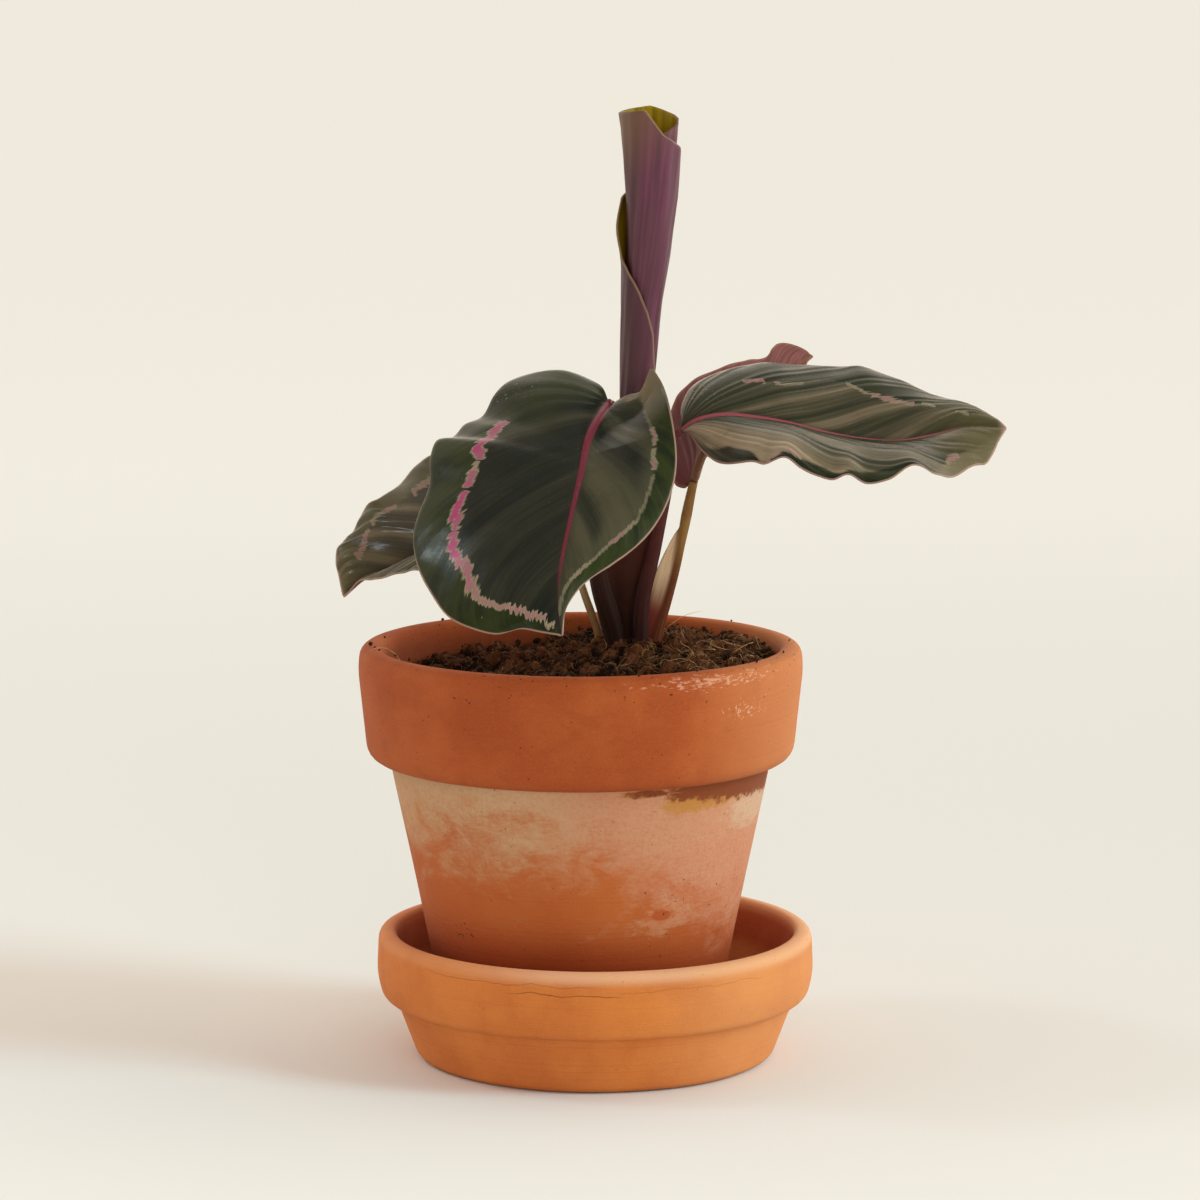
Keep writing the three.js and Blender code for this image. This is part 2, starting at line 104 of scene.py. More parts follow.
# How the blades are drawn: crowding of their columns at the margin, bend of the veins, rate of the
# frill, the blade widths over which folds set in, how far the margin's waves are calmed further in,
# and how far apart the two sides take their streaks from the same noise
COLUMN_CROWDING = 1.15
VEIN_BEND = 0.75
FRILL_RATE = 0.62
FOLD_WIDTHS = (4, 14)
MARGIN_CALM = 0.05
SIDE_GAP = 50.0

# Light of the room: dark above and on the camera's side, bright elsewhere and brightest at the right
ROOM_DARK = (0.46, 0.40, 0.34, 1.0)
ROOM_BRIGHT = (1.6, 1.4, 1.17, 1.0)
ROOM_RIGHT = (2.6, 2.3, 1.9, 1.0)
ROOM_FRONT_FADE = (-0.65, -0.05)
ROOM_TOP_FADE = (0.9, 0.5)
LAMP_REACH = 1.5


def colour(screen):
    """A colour as seen on screen, from 0 to 255, as the linear numbers that a shader takes"""
    channels = [value / 255 for value in screen]
    linear = [c / 12.92 if c <= 0.04045 else ((c + 0.055) / 1.055) ** 2.4 for c in channels]
    return (*linear, 1.0)


def smooth(value, low, high):
    """0 below low, 1 above high and a soft step between them"""
    share = np.clip((value - low) / (high - low), 0, 1)
    return share * share * (3 - 2 * share)


def unit(vectors):
    lengths = np.linalg.norm(vectors, axis=-1, keepdims=True)
    return vectors / np.maximum(lengths, 1e-9)


class Value:
    """What a shader node gives out; arithmetic with it adds further nodes"""

    def __init__(self, nodes, socket):
        self.nodes = nodes
        self.socket = socket

    def __add__(self, other):
        return self.nodes.math("ADD", self, other)

    def __sub__(self, other):
        return self.nodes.math("SUBTRACT", self, other)

    def __mul__(self, other):
        return self.nodes.math("MULTIPLY", self, other)

    def __abs__(self):
        return self.nodes.math("ABSOLUTE", self)

    def at_least(self, other):
        return self.nodes.math("MAXIMUM", self, other)

    def swing(self, amount):
        """Makes a noise stray round nothing by up to half of amount"""
        return self * amount - amount / 2

    def fade(self, low, high, end=1.0, start=0.0):
        """Goes softly from start to end while this value goes from low to high"""
        if low > high:
            low, high, start, end = high, low, end, start
        inputs = {"Value": self, "From Min": low, "From Max": high, "To Min": start, "To Max": end}
        return self.nodes.add("ShaderNodeMapRange", inputs, interpolation_type="SMOOTHSTEP")


class Nodes:
    """A node tree under construction"""

    def __init__(self, owner):
        owner.use_nodes = True
        self.tree = owner.node_tree

    def add(self, kind, inputs, output=0, **settings):
        """Adds a node and gives back one of its outputs"""
        made = self.tree.nodes.new(kind)
        for key, value in settings.items():
            setattr(made, key, value)
        for key, value in inputs.items():
            if isinstance(value, Value):
                self.tree.links.new(value.socket, made.inputs[key])
            else:
                made.inputs[key].default_value = value
        return Value(self, made.outputs[output])

    def math(self, operation, a, b=0.0):
        return self.add("ShaderNodeMath", {0: a, 1: b}, operation=operation)

    def join(self, x, y, z=0.0):
        return self.add("ShaderNodeCombineXYZ", {0: x, 1: y, 2: z})

    def split(self, vector):
        return [self.add("ShaderNodeSeparateXYZ", {0: vector}, part) for part in range(3)]

    def mix(self, factor, a, b):
        return self.add("ShaderNodeMix", {0: factor, 6: a, 7: b}, 2, data_type="RGBA")


class Shader(Nodes):
    """The node tree of a material, which ends in its Principled BSDF"""

    def __init__(self, name, roughness, specular):
        self.material = bpy.data.materials.new(name)
        super().__init__(self.material)
        self.surface = self.tree.nodes["Principled BSDF"].inputs
        self.surface["Roughness"].default_value = roughness
        self.surface["Specular IOR Level"].default_value = specular
        self.normal = None
        spot = self.add("ShaderNodeTexCoord", {}, "Object")
        # The point on the surface, in millimetres of the part's own frame
        self.place = self.add("ShaderNodeVectorMath", {0: spot, "Scale": 1 / MM}, operation="SCALE")
        self.x, self.y, self.z = self.split(self.place)

    def values(self, *names):
        """Numbers that are kept for each corner of the mesh"""
        return [self.add("ShaderNodeAttribute", {}, "Fac", attribute_name=name) for name in names]

    def stretched(self, *rates):
        return self.add("ShaderNodeVectorMath", {0: self.place, 1: rates}, operation="MULTIPLY")

    def noise(self, scale, detail=3.0, roughness=0.55, distortion=0.0, at=None):
        inputs = {"Vector": at or self.place, "Scale": scale, "Detail": detail, "Roughness": roughness}
        return self.add("ShaderNodeTexNoise", {**inputs, "Distortion": distortion}, "Fac")

    def streaks(self, x, y, z=0.0, detail=4.0, roughness=0.6):
        """A noise over other numbers than the place, which stretch it into streaks"""
        return self.noise(1.0, detail, roughness, at=self.join(x, y, z))

    def from_axis(self, centre_x):
        """How far a point is from the upright axis through centre_x"""
        across = self.x - centre_x
        return self.math("SQRT", across * across + self.y * self.y)

    def near(self, **axes):
        """A soft-edged patch: its middle and its reach along each axis that limits it"""
        squares = 0.0
        for axis, (middle, reach) in axes.items():
            offset = (getattr(self, axis) - middle) * (1 / reach)
            squares = offset * offset + squares
        return self.math("EXPONENT", squares * -1.0)

    def coats(self, base, *coats):
        """Lays colours over a base, each by its own factor; plain colours are given as seen on screen"""
        for factor, tint in coats:
            base, tint = (c if isinstance(c, Value) else colour(c) for c in (base, tint))
            base = self.mix(factor, base, tint)
        return base

    def bump(self, height, distance):
        inputs = {"Height": height, "Distance": distance * MM, "Strength": 1.0}
        if self.normal is not None:
            inputs["Normal"] = self.normal
        self.normal = self.add("ShaderNodeBump", inputs)

    def finish(self, base, roughness=None):
        for key, value in (("Base Color", base), ("Roughness", roughness), ("Normal", self.normal)):
            if value is not None:
                self.tree.links.new(value.socket, self.surface[key])
        return self.material


def make_piece(name, vertices, faces, materials, stands_for=None, values=None, indices=None,
               smooth_faces=True):
    """A mesh piece in the part's frame from points in millimetres, riding on the part's one body"""
    mesh = bpy.data.meshes.new(name)
    mesh.from_pydata((np.asarray(vertices) * MM).tolist(), [], [tuple(face) for face in faces])
    for material in materials:
        mesh.materials.append(material)
    for key, numbers in (values or {}).items():
        mesh.attributes.new(key, "FLOAT", "POINT").data.foreach_set("value", np.ravel(numbers))
    if indices is not None:
        mesh.polygons.foreach_set("material_index", indices)
    mesh.polygons.foreach_set("use_smooth", [smooth_faces] * len(mesh.polygons))
    mesh.update()
    piece = bpy.data.objects.new(name, mesh)
    bpy.context.scene.collection.objects.link(piece)
    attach(piece, "root")
    if stands_for:
        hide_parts(stands_for)
    return piece


# Materials of the clay

def clay_surface(shader):
    """Fine grit, faint turning lines and small pits, which all the clay has"""
    grit = shader.noise(1.7, 5.0, 0.7)
    turning = shader.noise(1.3, 3.0, 0.6, at=shader.join(shader.z, 0.0))
    pits = shader.noise(0.6, 3.0, 0.6).fade(0.70, 0.75)
    shader.bump(turning, 0.12)
    shader.bump(grit, 0.13)
    shader.bump(pits, -0.2)
    return grit, turning


def pot_material():
    shader = Shader("pot_terracotta", 0.8, 0.25)
    across, height = shader.x, shader.z
    front = shader.y.fade(6.0, -10.0)
    below = height.fade(BAND_BOTTOM + 0.4, BAND_BOTTOM - 0.6)
    grit, turning = clay_surface(shader)
    clouds = shader.noise(0.03, 4.0, 0.6).fade(0.35, 0.65)
    smears = shader.noise(0.09, 5.0, 0.65, 0.6, shader.stretched(1, 1, 1.8)).fade(0.5, 0.7, 0.35)
    # The band is paler towards the right, where the light comes from: painted light
    painted_light_right = across.fade(20, 62, 0.6)
    low = height.fade(50, 28) * across.fade(5, 40, 0.7, 1.0)
    band = shader.coats((154, 70, 30), (clouds, (168, 84, 39)), (smears, (140, 62, 28)),
                        (painted_light_right, (204, 134, 84)))
    body = shader.coats((222, 114, 49), (clouds, (232, 128, 60)), (low, (178, 63, 18)))

    # Lime on the body: cream under the band at the left, and a pink haze that hangs lower at the right
    brushed = shader.noise(0.06, 6.0, 0.65, 0.8, shader.stretched(1, 1, 1.5))
    wiped = shader.noise(0.3, 5.0, 0.7, 1.4, shader.stretched(0.6, 0.6, 1.6))
    powder = shader.noise(0.9, 4.0, 0.8).fade(0.3, 0.62, 1.0, 0.6)
    stray = height + brushed.swing(60) + wiped.swing(26)
    cream = stray.fade(52, 84) * across.fade(8, -26, 1.0, 0.25) * below
    haze = (across * 0.6 + stray).fade(50, 81) * below
    corner = shader.near(x=(44, 9), y=(-20, 22), z=(77, 10)) + brushed.swing(1.2) + wiped.swing(1.0)
    corner = corner.fade(0.25, 0.9) * powder * below

    # A rusty stain with an ochre fringe under the band, and a pale ring lower down
    over = height + shader.noise(0.45, 5.0, 0.75).swing(9.0)
    stain = shader.near(x=(36, 17), z=(82, 12)) * front * below
    thread = shader.near(x=(14, 9), z=(84.6, 1.6)) * front * below * 0.7
    stain = (stain.at_least(thread) + wiped.swing(0.9)).fade(0.3, 0.55)
    ochre = (over - (across * 0.09 + 76.0)).fade(-0.8, 0.8) * stain
    rust = (across * 0.14 + over).fade(84.6, 86.2) * stain
    spot = shader.near(x=(19, 9), z=(47.6, 6)) * front
    ring = (spot + brushed.swing(2.4) + wiped.swing(2.0)).fade(0.4, 0.9) * spot.fade(0.08, 0.4) * 0.55
    core = (shader.near(x=(18.4, 3.4), z=(48.4, 1.9)) * front).fade(0.3, 0.7, 0.85)

    # Dry scuffs along the lip and lower on the band
    rubbed = shader.noise(0.8, 5.0, 0.75, at=shader.stretched(0.5, 0.5, 1.8))
    worn = shader.near(x=(32, 24), z=(116.4, 2.6)) * front
    scuff = (worn * 0.22 + rubbed).fade(0.68, 0.76) * worn.fade(0.02, 0.3)
    nicked = shader.near(x=(42, 7), z=(107, 3.2)) * front
    nick = (nicked * 0.16 + shader.noise(0.9, 3.0, 0.7)).fade(0.67, 0.73) * nicked.fade(0.05, 0.3)

    # Dark specks of soil, more of them at the lip, round the ring and low on the left
    crowd = shader.near(x=(-36, 6), z=(42, 5)) + height.fade(106, 117, 0.5)
    crowd = crowd + shader.near(x=(22, 12), z=(50, 7)) * 0.5
    specks = (shader.noise(0.8, 2.0, 0.5) + crowd * 0.11).fade(0.745, 0.765)

    # Darker clay on the inside above the soil: damp clay and painted shade
    inside = shader.from_axis(POT_X).fade(57.2, 56.0) * height.fade(117.5, 113.0)
    return shader.finish(shader.coats(
        band,
        (below, body),
        (grit.fade(0.45, 0.75, 0.16), (200, 124, 78)),
        (turning.fade(0.5, 0.7, 0.15), (132, 62, 30)),
        (haze * powder * 0.85, (246, 180, 144)),
        (cream * powder * 0.85, (244, 214, 166)),
        (corner * 0.8, (250, 220, 186)),
        (ochre * 0.85, (222, 156, 62)),
        (rust * 0.9, (136, 58, 24)),
        (ring, (244, 180, 134)),
        (core, (214, 98, 40)),
        (scuff.at_least(nick) * 0.45, (226, 180, 152)),
        (specks * 0.85, (58, 28, 18)),
        (inside * 0.5, (92, 44, 30)),
    ))


def saucer_material():
    shader = Shader("saucer_terracotta", 0.78, 0.3)
    across, height = shader.x, shader.z
    grit, turning = clay_surface(shader)
    clouds = shader.noise(0.04, 4.0, 0.6).fade(0.35, 0.65)

    # The inside is darker, partly where water stood in it and partly as painted shade; the test follows the
    # sloping outer wall
    wall = height * 0.3 + 53.0 - shader.from_axis(0.0)
    inside = wall.fade(3.4, 4.6) * height.fade(36.2, 32.0) * height.fade(3.5, 5.0)
    damp_and_painted_shade = shader.coats((156, 68, 36), (clouds, (176, 86, 50)))

    # Hairline cracks along the front of the band: level, middle, reach and strength
    wander = shader.noise(0.07, 4.0, 0.6, at=shader.stretched(1, 1, 0)).swing(4.0)
    cracks = shader.math("ADD", 0.0)
    for level, middle, reach, strength in ((30.2, -8, 16, 0.5), (32.6, -24, 26, 0.3), (31.4, 26, 22, 0.2)):
        thin = abs(height + wander - level).fade(0.17, 0.05)
        where = shader.near(x=(middle, reach), z=(32, 9)).fade(0.25, 0.6) * shader.y.fade(-20.0, -40.0)
        cracks = cracks.at_least(thin * where * strength)
    shader.bump(cracks, -0.25)
    return shader.finish(shader.coats(
        (192, 106, 47),
        (clouds, (204, 120, 55)),
        (grit.fade(0.45, 0.75, 0.22), (212, 146, 92)),
        (turning.fade(0.52, 0.7, 0.3), (150, 80, 40)),
        # The lip's top is paler, much less so at the left: painted light
        (height.fade(32.0, 35.4) * across.fade(-46, -4, 0.72, 0.2), (222, 174, 138)),
        # The right side is paler, where the light comes from: painted light
        (across.fade(8, 44, 0.35), (212, 156, 104)),
        # Damp clay and painted shade on the inside
        (inside * 0.85, damp_and_painted_shade),
        (cracks, (96, 44, 22)),
        (shader.noise(0.9, 2.0, 0.5).fade(0.75, 0.775, 0.6), (120, 62, 34)),
    ))


# Materials of the plant

def leaf_material(name, look):
    """The upper side of a blade: strokes along the veins, a broken pink band and the midrib"""
    shader = Shader(name, 0.3, look["shine"])
    side, share, along, vein, tone, pink = shader.values("side", "share", "along", "vein_mm", "tone", "pink")
    band, half, edge, rib = shader.values("band_mm", "half_mm", "edge_mm", "rib_mm")

    def streaks(rate, across, detail=3.0):
        return shader.streaks(vein * rate, share * across, side * SIDE_GAP, detail, 0.55)

    def by_side(key):
        side_a, side_b = look[key]
        return side.fade(-0.2, 0.2, side_b, side_a)

    broad, teeth = streaks(0.2, 0.7), streaks(0.7, 0.8)
    fine, hair = streaks(0.75, 1.6), streaks(2.7, 3.0, 2.0)
    cloud = shader.noise(0.09, 3.0, 0.6)

    # Between the midrib and the band: tan strokes over dark green
    tone = tone + broad.swing(0.9) + fine.swing(0.35) + hair.swing(0.2)
    shoulder = along.fade(0.42, 0.18) * share.fade(0.2, 0.6) * by_side("shoulder")
    middle = shader.coats(look["dark"], (tone.fade(-0.1, 1.1), look["tan"]),
                          (cloud.fade(0.45, 0.7, 0.25), look["tint"]), (shoulder, look["outer"]))

    # Outside the band: green with darker lobes, and tan at some of the ends; at the foot of the front leaf's
    # side A this tan is painted light on the upturned lobe
    lobes = (broad + cloud.swing(0.8)).fade(0.35, 0.65)
    tan_and_painted_light_ends = (along.fade(0.3, 0.12) * by_side("root")).at_least(along.fade(0.66, 0.78) * by_side("end"))
    outer = shader.coats(look["outer_dark"], (lobes, look["outer"]),
                         (fine.fade(0.5, 0.75, 0.4), look["outer_fine"]), (tan_and_painted_light_ends, look["lobe"]))

    # The band: pink patches with a pale fringe, all frayed along the veins
    fray = (teeth.fade(0.3, 0.7, 1.1, -1.1) + hair.swing(1.6)) * by_side("fray")
    inside = half - abs(band + fray)
    there = half.fade(0.15, 0.5) * by_side("strength")
    fringe = shader.coats(look["fringe"], (hair.fade(0.42, 0.6), look["pale"]))
    core = shader.coats(look["pink"], (teeth.fade(0.4, 0.62), look["pink_soft"]))

    # The midrib, thinning towards the tip, the thin pale margin and small dry scuffs
    rib = rib - along.fade(0.0, 0.9, look["rib_width"][1], look["rib_width"][0])
    rim = (along - by_side("line_from")).fade(0.0, 0.1, 1.0, 0.15) * edge.fade(0.62, 0.3)
    dots = shader.noise(1.1, 3.0, 0.7)
    if "scuff" in look:
        dots = shader.near(**look["scuff"]) * 0.18 + dots
    tip, tip_tint = look["tip"]
    shader.bump(fine, 0.06)
    shader.bump(hair, 0.02)
    return shader.finish(shader.coats(
        middle,
        ((band + fine.swing(3.0)).fade(-0.8, 0.8), outer),
        (along.fade(0.68, 0.95, tip), tip_tint),
        (along.fade(0.965, 1.0, tip), look["line"]),
        (inside.fade(-0.45, 0.15) * there, fringe),
        (inside.fade(0.1, 0.6) * there * pink, core),
        (rib.fade(2.0, 0.0, 0.3), look["glow"]),
        (rib.fade(0.2, -0.15) * along.fade(0.9, 0.72), look["rib"]),
        (rim * 0.65, look["line"]),
        (dots.fade(0.72, 0.77, 0.7), (150, 146, 116)),
    ), shader.noise(0.14, 4.0, 0.6).fade(0.35, 0.7, 0.3, 0.15))


def underside_material():
    """The wine-red back of a blade, where the midrib stands out pale"""
    shader = Shader("leaf_underside", 0.55, 0.35)
    side, share, along = shader.values("side", "share", "along")
    vein, edge, rib = shader.values("vein_mm", "edge_mm", "rib_mm")
    strands = shader.streaks(vein * 0.5, share, side * SIDE_GAP)
    hairs = shader.streaks(vein * 2.6, share, side * SIDE_GAP, 2.0, 0.5)
    rib = rib + along.fade(0.5, 1.0, 0.8)
    shader.bump(strands, 0.22)
    shader.bump(hairs, 0.1)
    return shader.finish(shader.coats(
        (116, 64, 66),
        (strands.fade(0.35, 0.7), (150, 96, 92)),
        (hairs.fade(0.45, 0.65, 0.3), (100, 50, 58)),
        (shader.noise(0.07, 3.0, 0.6).fade(0.4, 0.7, 0.35), (124, 76, 62)),
        (along.fade(0.9, 0.3, 0.45), (96, 46, 46)),
        (rib.fade(1.3, 0.7, 0.8), (132, 94, 60)),
        (edge.fade(0.7, 0.3, 0.6), (160, 112, 88)),
    ))


def roll_outside_material():
    """Purple, greyer where the outer turn laps over at the left, darker at the far left by painted shade, and
    brownish near the top
    """
    shader = Shader("rolled_leaf_outside", 0.5, 0.4)
    turn, height, behind = shader.values("turn", "height_mm", "behind_mm")
    across = shader.x
    slant = height * -0.008 + turn
    strands = shader.streaks(slant * 3.4, height * 0.012)
    hairs = shader.streaks(slant * 14.0, height * 0.03)
    lapped = height.fade(224, 196) * behind.fade(12.0, 4.0) * across.fade(16, 11)
    shader.bump(strands, 0.18)
    shader.bump(hairs, 0.08)
    return shader.finish(shader.coats(
        (80, 38, 53),
        (strands.fade(0.35, 0.68), (108, 54, 78)),
        (hairs.fade(0.45, 0.65, 0.25), (66, 34, 46)),
        (shader.noise(0.08, 3.0, 0.6).fade(0.42, 0.7, 0.3), (78, 48, 50)),
        (lapped * 0.5, (78, 48, 52)),
        # Darker at the far left, away from the light: painted shade
        (across.fade(14.5, 9.0, 0.75), (58, 28, 33)),
        ((across * -0.9 + height).fade(236, 262, 0.65), (112, 82, 54)),
        (behind.fade(0.75, 0.35, 0.75), (134, 108, 80)),
    ))


def roll_inside_material():
    shader = Shader("rolled_leaf_inside", 0.45, 0.22)
    turn, height, behind = shader.values("turn", "height_mm", "behind_mm")
    strands = shader.streaks(turn * 5.0, height * 0.02)
    shader.bump(strands, 0.16)
    return shader.finish(shader.coats(
        (118, 96, 0),
        (strands.fade(0.35, 0.65), (150, 124, 4)),
        # Darker and browner lower down inside the roll: painted shade
        (height.fade(262, 240, 0.5), (116, 84, 8)),
        (behind.fade(0.6, 0.3, 0.6), (150, 130, 74)),
    ))


def stalk_material(name, low, high, sheath=None):
    """A stalk whose colour runs from its foot to its top, with fine lines along it"""
    shader = Shader(name, 0.55, 0.14)
    along, turn, wing = shader.values("along", "turn", "wing")
    lines = shader.streaks(turn * 2.6, along * 2.0)
    cloud = shader.noise(0.16, 3.0, 0.6)
    coats = [
        (along.fade(0.4 if sheath else 0.1, 0.8), high),
        (lines.fade(0.45, 0.7, 0.35), high),
        (cloud.fade(0.45, 0.7, 0.3), low),
    ]
    if sheath:
        dry = shader.coats(sheath[0], (along.fade(0.3, 0.55), sheath[1]),
                           (lines.fade(0.42, 0.65, 0.4), sheath[0]))
        coats += [(wing.fade(0.1, 1.2), dry), (along.fade(0.2, 0.02, 0.75), (44, 20, 15))]
    shader.bump(lines, 0.15)
    return shader.finish(shader.coats(low, *coats))


# Materials of the soil, the roots and the floor

def soil_material():
    """Reddish brown and fibrous on top of the clods, with painted shade in the gaps between them and in the
    hollow, and painted light towards the right
    """
    shader = Shader("potting_mix", 0.95, 0.15)
    fine = shader.noise(1.5, 4.0, 0.75)
    # The shade numbers are painted shade in the gaps and the hollow and painted light towards the right
    top = shader.values("shade")[0] + shader.noise(0.3, 5.0, 0.7).swing(0.7) + fine.swing(0.7)
    shader.bump(fine, 0.5)
    return shader.finish(shader.coats(
        (24, 13, 8),
        (top.fade(0.25, 0.85), (98, 59, 34)),
        (fine.fade(0.56, 0.75, 0.6), (142, 96, 60)),
        (fine.fade(0.46, 0.32, 0.6), (18, 10, 6)),
    ))


def crumb_material():
    shader = Shader("soil_crumb", 0.95, 0.15)
    fine = shader.noise(2.2, 3.0, 0.7)
    shader.bump(fine, 0.2)
    grains = (fine.fade(0.52, 0.74, 0.45), (150, 102, 64))
    return shader.finish(shader.coats((24, 13, 8), (shader.values("shade")[0], (108, 66, 38)), grains))


def fibre_material():
    shader = Shader("coir_fibre", 0.8, 0.3)
    tone = shader.values("shade")[0].fade(0.2, 1.0)
    dirt = (shader.noise(1.2, 3.0, 0.6).fade(0.4, 0.7, 0.45), (60, 36, 22))
    return shader.finish(shader.coats((112, 68, 36), (tone, (214, 172, 122)), dirt))


def root_material():
    shader = Shader("root_skin", 0.8, 0.3)
    rings = shader.noise(0.6, 4.0, 0.6)
    shader.bump(rings, 0.3)
    return shader.finish(shader.coats((150, 118, 78), (rings.fade(0.35, 0.7), (196, 168, 122))))


def floor_material():
    shader = Shader("paper_floor", 0.95, 0.0)
    return shader.finish(shader.coats(
        (221, 220, 218),
        (shader.noise(0.8, 3.0, 0.6).fade(0.3, 0.7), (222, 221, 219)),
        (shader.y.fade(300, 1500), (232, 231, 229)),
        (shader.y.fade(150, -150), (229, 228, 226)),
    ))


